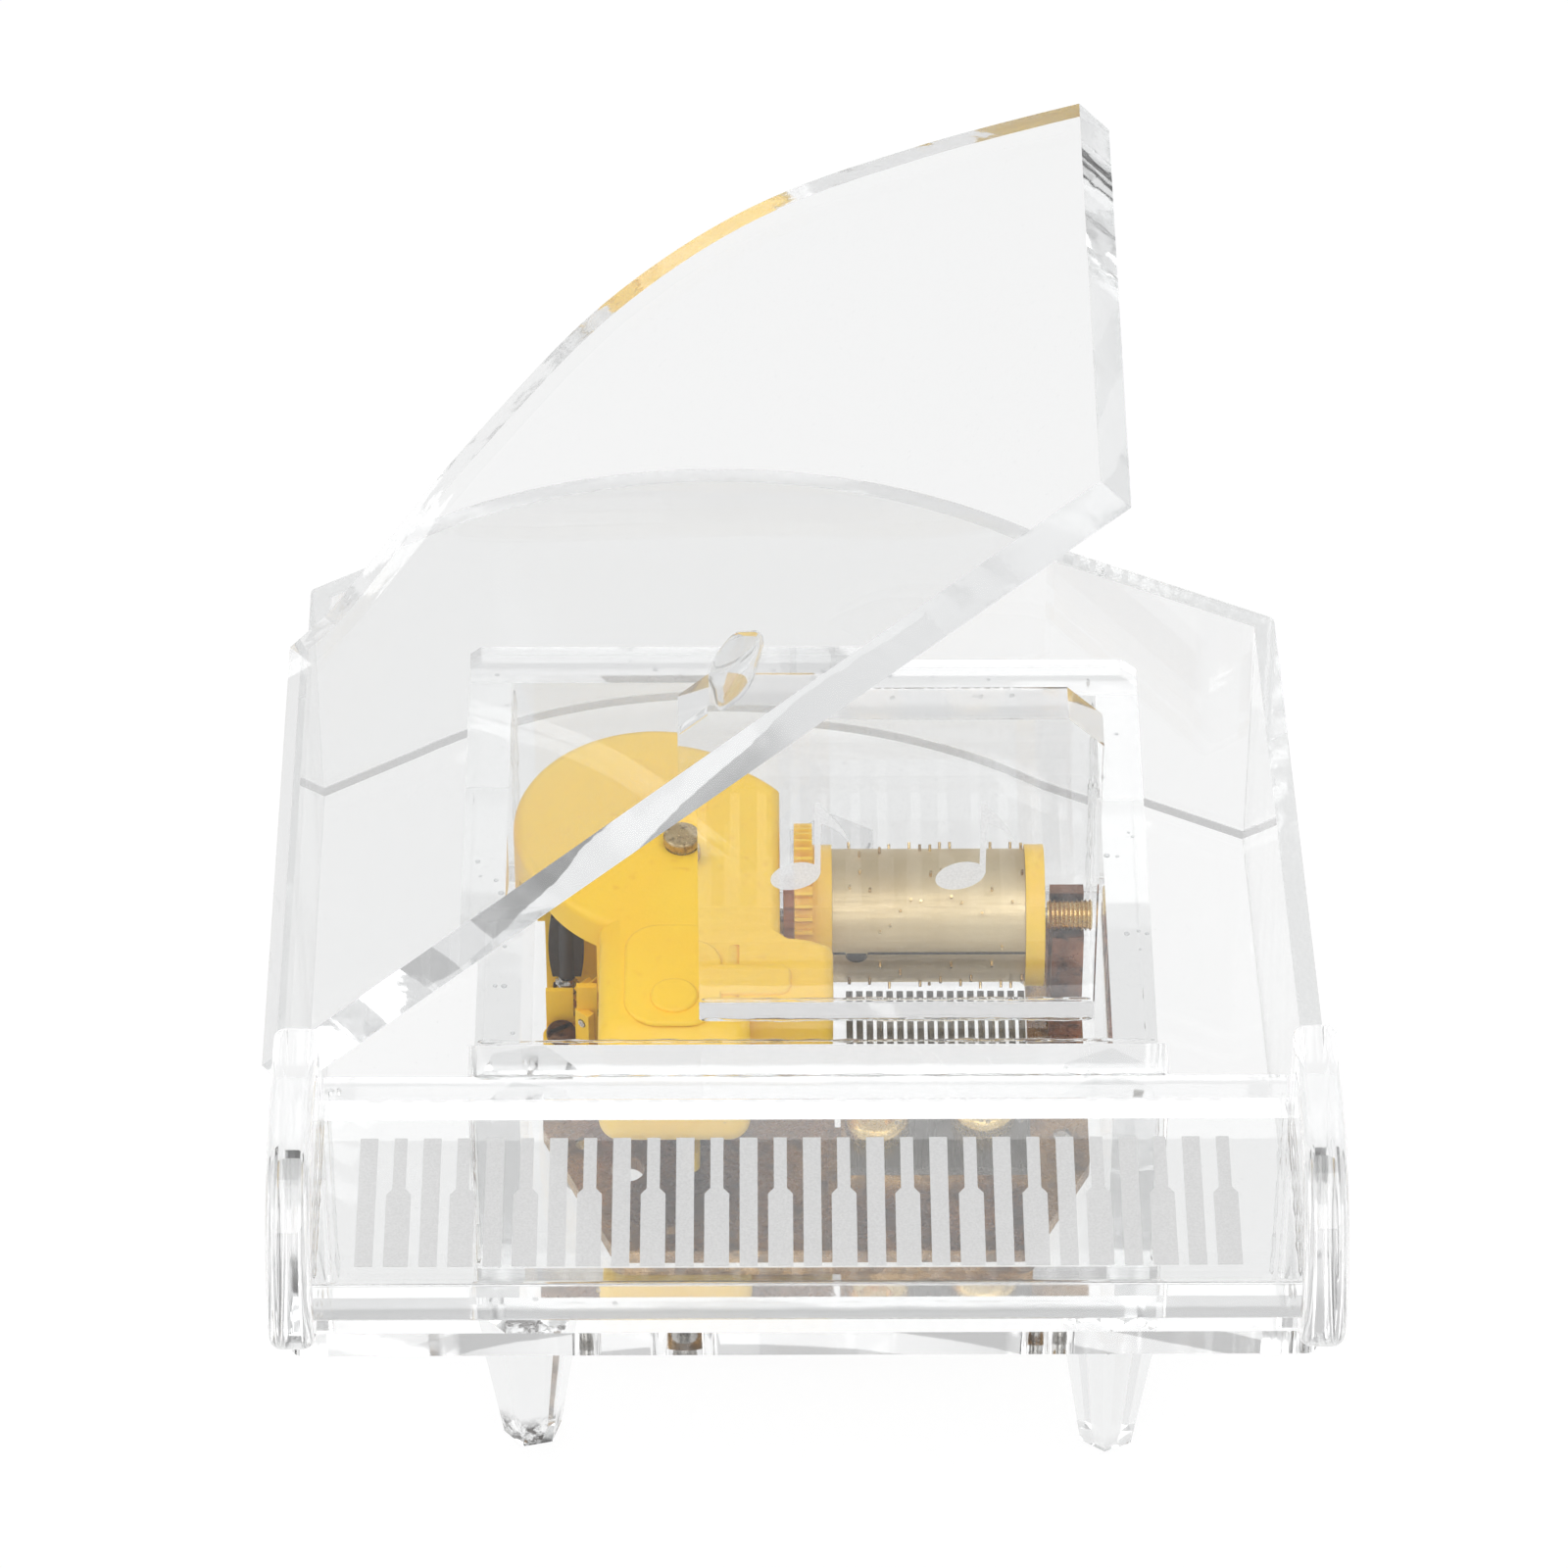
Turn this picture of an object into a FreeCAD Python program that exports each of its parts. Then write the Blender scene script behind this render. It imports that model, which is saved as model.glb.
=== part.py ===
import FreeCAD, Part
import math
import os
from FreeCAD import Vector as V

os.makedirs("parts", exist_ok=True)

# ---------------------------------------------------------------- driving dimensions (mm)
# The model is laid out in a working frame: Z = 0 is the underside of the bottom plate, Y = 0 its front edge, X = 0 near the
# middle of the keyboard. SHIFT moves everything to the row frame (origin under the middle of the bounding box, leg tips at Z = 0).
T_PLATE = 3.0        # bottom plate sheet
T_RIM = 2.0          # bent rim strip
T_WALL = 4.0         # sheet of the inner box
T_LID = 4.0          # lid sheet
T_CHEEK = 4.0        # keyboard cheeks
T_BED = 4.8          # key bed sheet
T_FALL = 3.0         # fallboard sheet
T_REST = 4.2         # music rest sheet
Z_RIM = 30.9         # top of the rim, key bed and box cover
GLUE = 0.03          # thickness of a cement line between two sheets
LEG_H = 17.0         # leg height under the bottom plate
LID_TILT = 43.0      # lid angle about the long axis
LID_W = 100.0        # lid width measured up the slope
LID_X0 = -46.0       # lower edge of the lid's underside

CYL_Y, CYL_Z = 42.2, 16.7      # axis of the pinned cylinder (parallel to X)
CYL_R = 6.3                    # cylinder sleeve radius
PIN_R = 6.95                   # radius at the pin tips
ARB = (-11.4, 41.9)            # axis of the mainspring arbor (parallel to Z)
MOD = 0.38                     # gear module of the train
N_CROWN, N_CYL, N_GOV = 60, 44, 15
R_WHEEL = 11.5        # outer radius of the great wheel
R_CROWN, R_GEAR, R_GOV = MOD * N_CROWN / 2, MOD * N_CYL / 2, MOD * N_GOV / 2   # 11.40, 8.36, 2.85
WORM = (-22.35, 36.45)         # axis of the governor worm and fly (parallel to Z)
Z_TOP = 24.6                   # top of the spring housing
Z_BP = T_PLATE + 0.05          # underside of the bedplate
T_BP = 1.55                    # bedplate thickness
Z_BT = Z_BP + T_BP             # top of the bedplate (4.60)

SHIFT = V(0.6639, -33.1497, LEG_H)

nodes = []


def emit(name, shape):
    s = shape.copy()
    s.translate(SHIFT)
    s.exportStep("parts/" + name + ".step")
    nodes.append((name, s))
    ok = s.isValid()
    print("%-24s solids %2d  valid %s  volume %.1f" % (name, len(s.Solids), ok, s.Volume))


def box(x0, x1, y0, y1, z0, z1):
    return Part.makeBox(x1 - x0, y1 - y0, z1 - z0, V(x0, y0, z0))


def cyl(r, z0, z1, x, y):
    return Part.makeCylinder(r, z1 - z0, V(x, y, z0))


def cylx(r, x0, x1, y, z):
    return Part.makeCylinder(r, x1 - x0, V(x0, y, z), V(1, 0, 0))


def prism(pts, z0, z1):
    w = Part.makePolygon([V(x, y, z0) for x, y in pts] + [V(pts[0][0], pts[0][1], z0)])
    return Part.Face(w).extrude(V(0, 0, z1 - z0))


def fuse(shapes):
    s = shapes[0].multiFuse(shapes[1:]) if len(shapes) > 1 else shapes[0]
    return s.removeSplitter()


def group(shapes):
    return Part.makeCompound(shapes)


def rounded(shape, r, pick):
    edges = [e for e in shape.Edges if pick(e)]
    return shape.makeFillet(r, edges) if edges else shape


def vertical(e):
    if len(e.Vertexes) != 2:
        return False
    a, b = e.Vertexes[0].Point, e.Vertexes[1].Point
    return abs(a.x - b.x) < 1e-6 and abs(a.y - b.y) < 1e-6


def mid(e):
    return e.valueAt((e.FirstParameter + e.LastParameter) / 2)


def edge(a, b):
    return Part.LineSegment(V(*a), V(*b)).toShape()


def arc(a, m, b):
    return Part.Arc(V(*a), V(*m), V(*b)).toShape()


# ---------------------------------------------------------------- plan outline of the piano body
P_LB = (-47.5, 72.3)      # left rear corner
P_A = (-37.5, 78.6)       # where the bend starts
P_M = (-5.4, 88.3)        # furthest back
P_B = (25.0, 78.3)        # where the bend ends
P_RB = (45.6, 67.8)       # right rear corner
X_L, X_R = -47.5, 47.2


def offset_outline(t, y_front, z):
    """Wire edges of the plan outline moved inwards by t, open at the front, as a list of points and the bend's arc."""
    ax, ay = P_A
    mx, my = P_M
    bx, by = P_B
    # circle through the three bend points
    d = 2 * (ax * (my - by) + mx * (by - ay) + bx * (ay - my))
    ux = ((ax * ax + ay * ay) * (my - by) + (mx * mx + my * my) * (by - ay) + (bx * bx + by * by) * (ay - my)) / d
    uy = ((ax * ax + ay * ay) * (bx - mx) + (mx * mx + my * my) * (ax - bx) + (bx * bx + by * by) * (mx - ax)) / d
    r = math.hypot(ax - ux, ay - uy)

    def line_off(p, q):
        dx, dy = q[0] - p[0], q[1] - p[1]
        n = math.hypot(dx, dy)
        nx, ny = dy / n, -dx / n      # right-hand side, which is inside when going left to back to right
        return (p[0] + nx * t, p[1] + ny * t), (dx / n, dy / n)

    def meet(l1, l2):
        (p, u), (q, w) = l1, l2
        k = ((q[0] - p[0]) * w[1] - (q[1] - p[1]) * w[0]) / (u[0] * w[1] - u[1] * w[0])
        return (p[0] + u[0] * k, p[1] + u[1] * k)

    def on_arc(l, near):
        (p, u) = l
        fx, fy = p[0] - ux, p[1] - uy
        b = fx * u[0] + fy * u[1]
        c = fx * fx + fy * fy - (r - t) ** 2
        s = math.sqrt(b * b - c)
        c1 = [(p[0] + u[0] * k, p[1] + u[1] * k) for k in (-b - s, -b + s)]
        return min(c1, key=lambda q: math.hypot(q[0] - near[0], q[1] - near[1]))

    left = line_off((X_L, y_front), P_LB)
    slope_l = line_off(P_LB, P_A)
    slope_r = line_off(P_B, P_RB)
    right = line_off(P_RB, (X_R, 5.4))
    f0 = meet(left, ((0, y_front), (1, 0)))
    c1 = meet(left, slope_l)
    a = on_arc(slope_l, P_A)
    b = on_arc(slope_r, P_B)
    c2 = meet(slope_r, right)
    f1 = meet(right, ((0, y_front), (1, 0)))
    m = (ux, uy + (r - t))
    return [(q[0], q[1], z) for q in (f0, c1, a, m, b, c2, f1)]


def outline_edges(p):
    f0, c1, a, m, b, c2, f1 = p
    return [edge(f0, c1), edge(c1, a), arc(a, m, b), edge(b, c2), edge(c2, f1)]


# ---------------------------------------------------------------- clear case
# bottom plate, with clearance holes for the movement's screws and for the winding key's stem
p = offset_outline(0.0, 0.0, 0.0)
w = Part.Wire(outline_edges(p) + [edge(p[6], p[0])])
plate = Part.Face(w).extrude(V(0, 0, T_PLATE))
plate = rounded(plate, 1.2, lambda e: vertical(e) and mid(e).y < 1.0)
KEY_HOLE_R = 3.4
SCREW_HOLE_R = 1.4
plate = plate.cut(cyl(KEY_HOLE_R, -1, T_PLATE + 1, *ARB))
HOLES = [(-20.6, 24.0), (24.2, 25.0), (22.6, 51.6)]
for x, y in HOLES:
    plate = plate.cut(cyl(SCREW_HOLE_R, -1, T_PLATE + 1, x, y))
emit("bottom_plate", plate)

# rim: one bent strip standing on the bottom plate, open at the front
Y_RIM0 = 3.65 + GLUE
po = offset_outline(0.15, Y_RIM0, T_PLATE + GLUE)
pi = offset_outline(0.15 + T_RIM, Y_RIM0, T_PLATE + GLUE)
outer = Part.Face(Part.Wire(outline_edges(po) + [edge(po[6], po[0])])).extrude(V(0, 0, Z_RIM - T_PLATE - GLUE))
hollow = [(q[0], q[1] if 0 < i < 6 else q[1] - 2.0, q[2] - 1.0) for i, q in enumerate(pi)]
inner = Part.Face(Part.Wire(outline_edges(hollow) + [edge(hollow[6], hollow[0])])).extrude(V(0, 0, 40.0))
rim = outer.cut(inner)
rim = rounded(rim, 0.9, lambda e: vertical(e) and (abs(mid(e).x - po[1][0]) < 0.05 and abs(mid(e).y - po[1][1]) < 0.05 or abs(mid(e).x - po[5][0]) < 0.05 and abs(mid(e).y - po[5][1]) < 0.05))
emit("rim_wall", rim)


# legs: six-sided tapered posts with a bevelled tip
def leg(cx, cy, turn, r_top=4.75, r_bot=2.45):
    def hexagon(r, z):
        pts = [V(cx + r * math.cos(math.radians(turn + 60 * k)), cy + r * math.sin(math.radians(turn + 60 * k)), z) for k in range(6)]
        return Part.makePolygon(pts + [pts[0]])
    body = Part.makeLoft([hexagon(r_top, -GLUE), hexagon(r_bot, -LEG_H + 1.3)], True, True)
    tip = Part.makeLoft([hexagon(r_bot, -LEG_H + 1.3), hexagon(1.35, -LEG_H)], True, True)
    return body.fuse(tip).removeSplitter()


emit("front_leg_left", leg(-25.6, 5.7, -107, 5.0, 2.75))
emit("front_leg_right", leg(28.4, 4.9, -95, 5.0, 2.75))
emit("rear_leg", leg(3.0, 70.0, -90))

# keyboard
X_CH = 43.4
emit("fallboard", box(-X_CH + GLUE, X_CH - GLUE, 2.4 + GLUE, 5.4 - GLUE, T_PLATE + GLUE, Z_RIM))
bed = box(-X_CH + GLUE, X_CH - GLUE, -20.4, 2.4, Z_RIM - T_BED, Z_RIM)
bed = rounded(bed, 0.35, lambda e: abs(mid(e).y + 20.4) < 1e-6 and abs(mid(e).x) < 1)
emit("key_bed", bed)

marks = []
PITCH = 2.818
for i in range(28):
    x = -38.95 + PITCH * i
    za, zb = Z_RIM + 0.01, Z_RIM + 0.07
    if i % 2 == 0:
        marks.append(box(x - 0.8, x + 0.8, -18.3, -2.5, za, zb))
    else:
        marks.append(prism([(x - 0.58, -2.5), (x + 0.58, -2.5), (x + 0.58, -8.8), (x + 1.1, -9.5), (x + 1.1, -18.3), (x - 1.1, -18.3), (x - 1.1, -9.5), (x - 0.58, -8.8)][::-1], za, zb))
emit("key_marks", group(marks))


def cheek(x0, x1):
    y0, y1, zt, zb = -22.0, 3.65, 39.5, 3.0 + GLUE
    z_low = 21.6
    w = Part.Wire([
        edge((x0, y1, zb), (x0, y1, zt - 1.2)),
        arc((x0, y1, zt - 1.2), (x0, y1 - 0.35, zt - 0.35), (x0, y1 - 1.2, zt)),
        edge((x0, y1 - 1.2, zt), (x0, y0 + 13.0, zt)),
        arc((x0, y0 + 13.0, zt), (x0, y0 + 13.0 * (1 - math.sin(math.radians(45))), zt - 13.0 * (1 - math.cos(math.radians(45)))), (x0, y0, zt - 13.0)),
        edge((x0, y0, zt - 13.0), (x0, y0, z_low + 4.5)),
        arc((x0, y0, z_low + 4.5), (x0, y0 + 1.32, z_low + 1.32), (x0, y0 + 4.5, z_low)),
        edge((x0, y0 + 4.5, z_low), (x0, -0.6, z_low)),
        edge((x0, -0.6, z_low), (x0, 0.4, z_low - 1.0)),
        edge((x0, 0.4, z_low - 1.0), (x0, 0.4, zb)),
        edge((x0, 0.4, zb), (x0, y1, zb)),
    ])
    s = Part.Face(w).extrude(V(x1 - x0, 0, 0))
    s = rounded(s, 1.1, lambda e: (abs(mid(e).x - x0) < 1e-6 or abs(mid(e).x - x1) < 1e-6) and (mid(e).z > 24 or (mid(e).z > z_low - 0.01 and mid(e).y < -1.0)) and mid(e).y < y1 - 0.01)
    return s


emit("cheek_left", cheek(-X_CH - T_CHEEK, -X_CH))
emit("cheek_right", cheek(X_CH, X_CH + T_CHEEK))

# inner box round the movement
Z0, Z_COV = T_PLATE + GLUE, 28.9
emit("box_front_wall", rounded(box(-30.4, 32.7, 5.4 + GLUE, 9.4, Z0, Z_RIM), 0.25, lambda e: vertical(e) and mid(e).y > 9))
emit("box_left_wall", box(-29.9, -25.9, 9.4 + GLUE, 57.8 - GLUE, Z0, Z_COV))
emit("box_right_wall", box(27.9, 31.9, 9.4 + GLUE, 57.8 - GLUE, Z0, Z_COV))
emit("box_back_wall", box(-29.9, 31.9, 57.8, 61.8, Z0, Z_COV))
cov = prism([(-29.9, 9.4 + GLUE), (31.9, 9.4 + GLUE), (31.9, 60.4), (30.5, 61.8), (-28.9, 61.8), (-29.9, 60.8)], Z_COV + GLUE, Z_RIM)
emit("box_cover", cov)

# music rest: a standing sheet whose left top corner is cut to lie against the lid
YR0 = 12.6
a43 = math.radians(LID_TILT)


def lid_under(x):
    """Height of the lid's underside over x."""
    return Z_RIM + 0.12 + (x - LID_X0) * math.tan(a43)


xr0, xr1, zr1 = -9.6, 26.2, 67.5
x_cut = LID_X0 + (zr1 - Z_RIM - 0.12) / math.tan(a43)
rest_pts = [(xr0, Z_RIM + GLUE), (xr1, Z_RIM + GLUE), (xr1, zr1 - 3.2), (xr1 - 3.2, zr1), (x_cut + 0.06, zr1), (xr0, lid_under(xr0) - 0.06)]
w = Part.makePolygon([V(x, YR0, z) for x, z in rest_pts] + [V(rest_pts[0][0], YR0, rest_pts[0][1])])
emit("music_rest", Part.Face(w).extrude(V(0, T_REST, 0)))


# frosted ornament on the music rest: two plain eighth notes and a scroll line, proud of the front face
def note(cx, cz, s):
    head = Part.Ellipse(V(0, 0, 0), 2.3 * s, 1.55 * s)
    h = Part.Face(Part.Wire([head.toShape()])).extrude(V(0, 0, 0.06))
    h.rotate(V(0, 0, 0), V(0, 0, 1), 22)
    stem = Part.makeBox(0.55 * s, 8.6 * s, 0.06, V(1.7 * s, 0.3 * s, 0))
    flag = Part.Face(Part.Wire([
        arc((1.7 * s, 8.9 * s, 0), (3.4 * s, 6.9 * s, 0), (4.9 * s, 3.8 * s, 0)),
        arc((4.9 * s, 3.8 * s, 0), (3.6 * s, 5.6 * s, 0), (1.7 * s, 6.6 * s, 0)),
        edge((1.7 * s, 6.6 * s, 0), (1.7 * s, 8.9 * s, 0)),
    ])).extrude(V(0, 0, 0.06))
    g = h.fuse([stem, flag]).removeSplitter()
    g.rotate(V(0, 0, 0), V(1, 0, 0), 90)
    g.translate(V(cx, YR0 - 0.01, cz))
    return g


emit("music_rest_ornament", group([note(-0.9, 48.8, 1.0), note(13.8, 48.8, 1.0)]))

# lid: tilted sheet with a curved rear edge
def lid_pt(wd, y, h):
    return (LID_X0 + wd * math.cos(a43) - h * math.sin(a43), y, Z_RIM + 0.12 + wd * math.sin(a43) + h * math.cos(a43))


LID_BACK = [(4.6, 61.2), (9.3, 63.6), (14.4, 66.7), (20.6, 70.2), (27.1, 73.1), (33.4, 75.6), (39.9, 77.3), (46.0, 77.7), (52.0, 77.3), (58.6, 76.0), (65.0, 73.9), (71.0, 71.3), (77.1, 68.3), (83.0, 65.3), (88.8, 62.1), (94.4, 58.9)]
curve = Part.BSplineCurve()
pts = [V(*lid_pt(wd, y, 0)) for wd, y in [(0.0, 61.2 - 2.3)][:0] + LID_BACK + [(LID_W, 55.6)]]
curve.interpolate(pts)
w = Part.Wire([
    edge(lid_pt(0, 3.8, 0), lid_pt(LID_W, 3.8, 0)),
    edge(lid_pt(LID_W, 3.8, 0), lid_pt(LID_W, 55.6, 0)),
    curve.toShape(),
    edge(lid_pt(4.6, 61.2, 0), lid_pt(0, 60.4, 0)),
    edge(lid_pt(0, 60.4, 0), lid_pt(0, 3.8, 0)),
])
nx, nz = -math.sin(a43) * T_LID, math.cos(a43) * T_LID
emit("lid", Part.Face(w).extrude(V(nx, 0, nz)))

# cement fillets that hold the lid: a pad under its lower edge is the rim itself, and a bead at the music rest
bead = []
for t in (0.0,):
    xa, za = xr0 + 0.2, lid_under(xr0 + 0.2)
    xb, zb = x_cut - 0.1, lid_under(x_cut - 0.1)
    w = Part.makePolygon([V(xa, YR0 - 0.9, za - 0.08), V(xb, YR0 - 0.9, zb - 0.08), V(xb + 0.1, YR0 - 0.03, zb - 0.9), V(xa + 0.3, YR0 - 0.03, za - 0.9), V(xa, YR0 - 0.9, za - 0.08)])
    # three-sided bead, built as a hull between the lid's underside and the rest's front face
    q = [V(xa, YR0 - 0.03, za - 0.06), V(xa, YR0 - 0.03, za - 1.1), V(xa, YR0 - 1.0, za - 0.06)]
    d = V(xb - xa, 0, zb - za)
    bead.append(Part.Face(Part.makePolygon(q + [q[0]])).extrude(d))
emit("lid_cement_bead", group(bead))

# ---------------------------------------------------------------- movement: bedplate and comb
bp = prism([(-17.6, 10.0), (20.9, 10.0), (26.7, 21.2), (26.7, 56.0), (-24.5, 56.0), (-24.5, 25.8)], Z_BP, Z_BT)
bp = rounded(bp, 1.5, lambda e: vertical(e))
bp = bp.cut(box(2.9, 21.4, 26.0, 51.5, 0, 10)).cut(box(-0.5, 2.9, 34.5, 39.0, 0, 10))
bp = bp.cut(cyl(2.5, 0, 10, *ARB)).cut(cyl(1.6, 0, 10, -16.5, 20.6)).cut(box(-12.8, -11.6, 12.2, 13.4, 0, 10))
for x, y in HOLES:
    bp = bp.cut(cyl(0.85, 0, 10, x, y))
COMB_Z0, COMB_T = 10.8, 1.0
seat = fuse([box(3.4, 21.4, 14.2, 23.8, Z_BT - 0.2, COMB_Z0 - GLUE), box(2.2, 22.6, 15.4, 22.8, Z_BT - 0.2, 6.4)])
bp = fuse([bp, seat])
COMB_SCREWS = [(6.7, 18.9), (16.5, 20.2)]
for x, y in COMB_SCREWS:
    bp = bp.cut(cyl(0.85, 5.5, 20, x, y))
LEVER = (-10.5, 26.9)
bp = fuse([bp, cyl(0.9, Z_BT - 0.2, 9.3, *LEVER)])
BRK_RIVETS = [(25.0, 38.6), (25.0, 50.4)]
for x, y in BRK_RIVETS:
    bp = bp.cut(cyl(0.75, 0, 10, x, y))
LEDGE_SCREW = (-22.9, 33.1)
bp = bp.cut(cyl(0.75, 0, 10, *LEDGE_SCREW))
emit("bedplate", bp)

comb = [prism([(4.0, 13.6), (20.9, 13.6), (20.9, 23.6), (4.0, 25.2)], COMB_Z0, COMB_Z0 + COMB_T)]
N_TEETH = 18
for i in range(N_TEETH):
    xc = 4.35 + 0.955 * i
    comb.append(box(xc - 0.31, xc + 0.31, 22.8, 37.0, COMB_Z0 + 0.25, COMB_Z0 + COMB_T))
comb = fuse(comb)
for x, y in COMB_SCREWS:
    comb = comb.cut(cyl(1.15, 5, 20, x, y))
emit("comb", comb)


# screws
def cross(r, x, y, z, depth):
    return [box(x - r, x + r, y - r * 0.26, y + r * 0.26, z - depth, z + 1), box(x - r * 0.26, x + r * 0.26, y - r, y + r, z - depth, z + 1)]


def pan_screw(x, y, z_seat, r_head, h, r_shank, z_end, turn=20.0, slot=False):
    head = cyl(r_head, z_seat, z_seat + h, x, y)
    head = head.makeFillet(h * 0.55, [e for e in head.Edges if abs(e.BoundBox.ZMin - (z_seat + h)) < 1e-6 and abs(e.BoundBox.ZMax - (z_seat + h)) < 1e-6])
    for c in ([box(x - r_head - 1, x + r_head + 1, y - 0.28, y + 0.28, z_seat + h * 0.5, z_seat + h + 1)] if slot else cross(r_head * 0.62, x, y, z_seat + h, h * 0.6)):
        c.rotate(V(x, y, 0), V(0, 0, 1), turn)
        head = head.cut(c)
    return fuse([head, cyl(r_shank, z_end, z_seat + 0.01, x, y)])


emit("comb_screws", group([pan_screw(x, y, COMB_Z0 + COMB_T + 0.01, 3.0, 1.9, 0.8, 6.4, t) for (x, y), t in zip(COMB_SCREWS, (40.0, 15.0))]))

# mounting screws come up through the bottom plate into the bedplate
ms = []
for x, y in HOLES:
    s = pan_screw(x, y, 0.0, 2.3, 1.5, 0.8, -4.4)
    s.rotate(V(x, y, 0), V(1, 0, 0), 180)
    s.translate(V(0, 0, -0.02))
    ms.append(s)
emit("mounting_screws", group(ms))

# bracket that carries the right end of the cylinder
BUSH_R = 1.52
br = fuse([
    box(23.4, 26.6, CYL_Y + BUSH_R + 0.02, CYL_Y + BUSH_R + 1.25, Z_BT + 0.02, CYL_Z + 1.35),
    box(23.6, 26.6, CYL_Y - 1.5, CYL_Y + BUSH_R + 0.5, CYL_Z - BUSH_R - 1.6, CYL_Z - BUSH_R - 0.02),
    box(23.6, 26.6, CYL_Y - 1.5, CYL_Y - 0.3, Z_BT + 0.02, CYL_Z - BUSH_R - 0.5),
    box(23.4, 26.6, 36.4, 52.6, Z_BT + 0.02, Z_BT + 1.1),
])
for x, y in BRK_RIVETS:
    br = br.cut(cyl(0.75, 0, 10, x, y))
emit("cylinder_bracket", br)
rv = []
for x, y in BRK_RIVETS:
    h = cyl(1.35, Z_BT + 1.12, Z_BT + 1.95, x, y)
    h = h.makeFillet(0.5, [e for e in h.Edges if e.BoundBox.ZMin > Z_BT + 1.9])
    rv.append(fuse([h, cyl(0.73, Z_BP + 0.05, Z_BT + 1.2, x, y)]))
emit("bracket_rivets", group(rv))

# threaded pivot bush: a bore for the arbor, with rings for the thread crests
bush = cylx(BUSH_R - 0.22, 23.1, 27.35, CYL_Y, CYL_Z)
rings = []
x = 23.25
while x < 27.2:
    ring = Part.makeCone(BUSH_R - 0.22, BUSH_R, 0.16, V(x, CYL_Y, CYL_Z), V(1, 0, 0)).fuse(Part.makeCone(BUSH_R, BUSH_R - 0.22, 0.16, V(x + 0.16, CYL_Y, CYL_Z), V(1, 0, 0)))
    rings.append(ring)
    x += 0.42
bush = bush.multiFuse(rings).cut(cylx(0.65, 22.0, 26.0, CYL_Y, CYL_Z))
emit("pivot_bush", bush)

# ---------------------------------------------------------------- spring housing (moulded plastic)
LOBE = (-12.35, 43.0)
LOBE_R = 13.25
contour = Part.BSplineCurve()
contour.interpolate([V(x, y, Z_BT + 0.02) for x, y in [(-12.35, 56.15), (-10.4, 55.3), (-8.6, 53.9), (-6.7, 52.1), (-4.9, 50.2), (-3.4, 48.1), (-2.5, 46.0), (-2.2, 44.0)]])
right = Part.Face(Part.Wire([contour.toShape(), edge((-2.2, 44.0, Z_BT + 0.02), (-2.2, 30.0, Z_BT + 0.02)), edge((-2.2, 30.0, Z_BT + 0.02), (-12.35, 30.0, Z_BT + 0.02)), edge((-12.35, 30.0, Z_BT + 0.02), (-12.35, 56.15, Z_BT + 0.02))])).extrude(V(0, 0, Z_TOP - Z_BT - 0.02))
ext = prism([(-6.0, 31.4), (-2.2, 31.4), (-1.5, 30.8), (1.8, 30.5), (2.45, 30.2), (2.7, 29.5), (2.7, 21.0), (-6.0, 21.0)][::-1], 17.6, Z_TOP)
ext = rounded(ext, 1.5, lambda e: vertical(e) and mid(e).y < 22 and mid(e).x > 0)
lobe = cyl(LOBE_R, Z_BT + 0.02, Z_TOP, *LOBE)
lobe = lobe.cut(box(-27.0, -24.4, 20, 60, 0, 17.0))
block = box(-19.0, -5.0, 15.6, 34.0, 11.6, Z_TOP)
block = block.makeFillet(3.2, [e for e in block.Edges if abs(mid(e).y - 15.6) < 1e-6 and abs(mid(e).x + 12.0) < 1e-6])
block = rounded(block, 2.0, lambda e: vertical(e) and mid(e).y < 20)
hs = lobe.fuse([right, block, ext]).removeSplitter()
hs = hs.cut(box(-2.2, 5.0, 31.45, 60.0, 0.0, 30.0))
# governor bay at the left front, under the top plate
hs = hs.cut(box(-27.0, -19.35, 26.0, 39.35, 0, 21.0))
# mainspring chamber
chamber = cyl(LOBE_R - 1.1, 9.0, Z_TOP - 1.6, *LOBE).common(box(-30, -3.4, 30.9, 60, 0, 30))
chamber = chamber.cut(box(-27.5, -18.2, 26.0, 40.45, 0, 30))
hs = hs.cut(chamber)
# space for the great wheel, open below
hs = hs.cut(cyl(12.65, 0, 9.0, *ARB))
# hollow front block, open below
hs = hs.cut(box(-17.8, -6.2, 17.6, 29.8, 8.0, Z_TOP - 1.6))
hs = hs.cut(box(-4.6, 1.5, 22.2, 29.3, 10.0, Z_TOP - 1.6))
# clearance for the governor wheel
d_ang = math.radians(206.46 + 21.24)
D = V(math.cos(d_ang), math.sin(d_ang), 0)
Q = V(-math.sin(d_ang), math.cos(d_ang), 0)
WC = V(ARB[0], ARB[1], 0) + D * R_CROWN
GOV_Z = CYL_Z - R_GEAR + R_GOV
sl = Part.makeBox(4.9, 8.4, 9.0, V(-1.9, -4.2, 6.0))
sl.rotate(V(0, 0, 0), V(0, 0, 1), math.degrees(d_ang))
sl.translate(WC)
hs = hs.cut(sl)
# bearings: cylinder arbor, spring arbor, governor shaft
hs = hs.cut(cylx(0.65, -5.0, -1.0, CYL_Y, CYL_Z))
hs = hs.cut(cyl(1.65, 20, 30, *ARB))
hs = hs.cut(cyl(0.45, 20, 22.2, *WORM))
# moulded relief on the top
hs = hs.removeSplitter()
relief = []


def rrect(x0, x1, y0, y1, r, z0, z1):
    b = box(x0, x1, y0, y1, z0, z1)
    b = b.makeFillet(r, [e for e in b.Edges if vertical(e)])
    return b.makeFillet(0.3, [e for e in b.Edges if abs(e.BoundBox.ZMin - z1) < 1e-6 and abs(e.BoundBox.ZMax - z1) < 1e-6])


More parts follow.
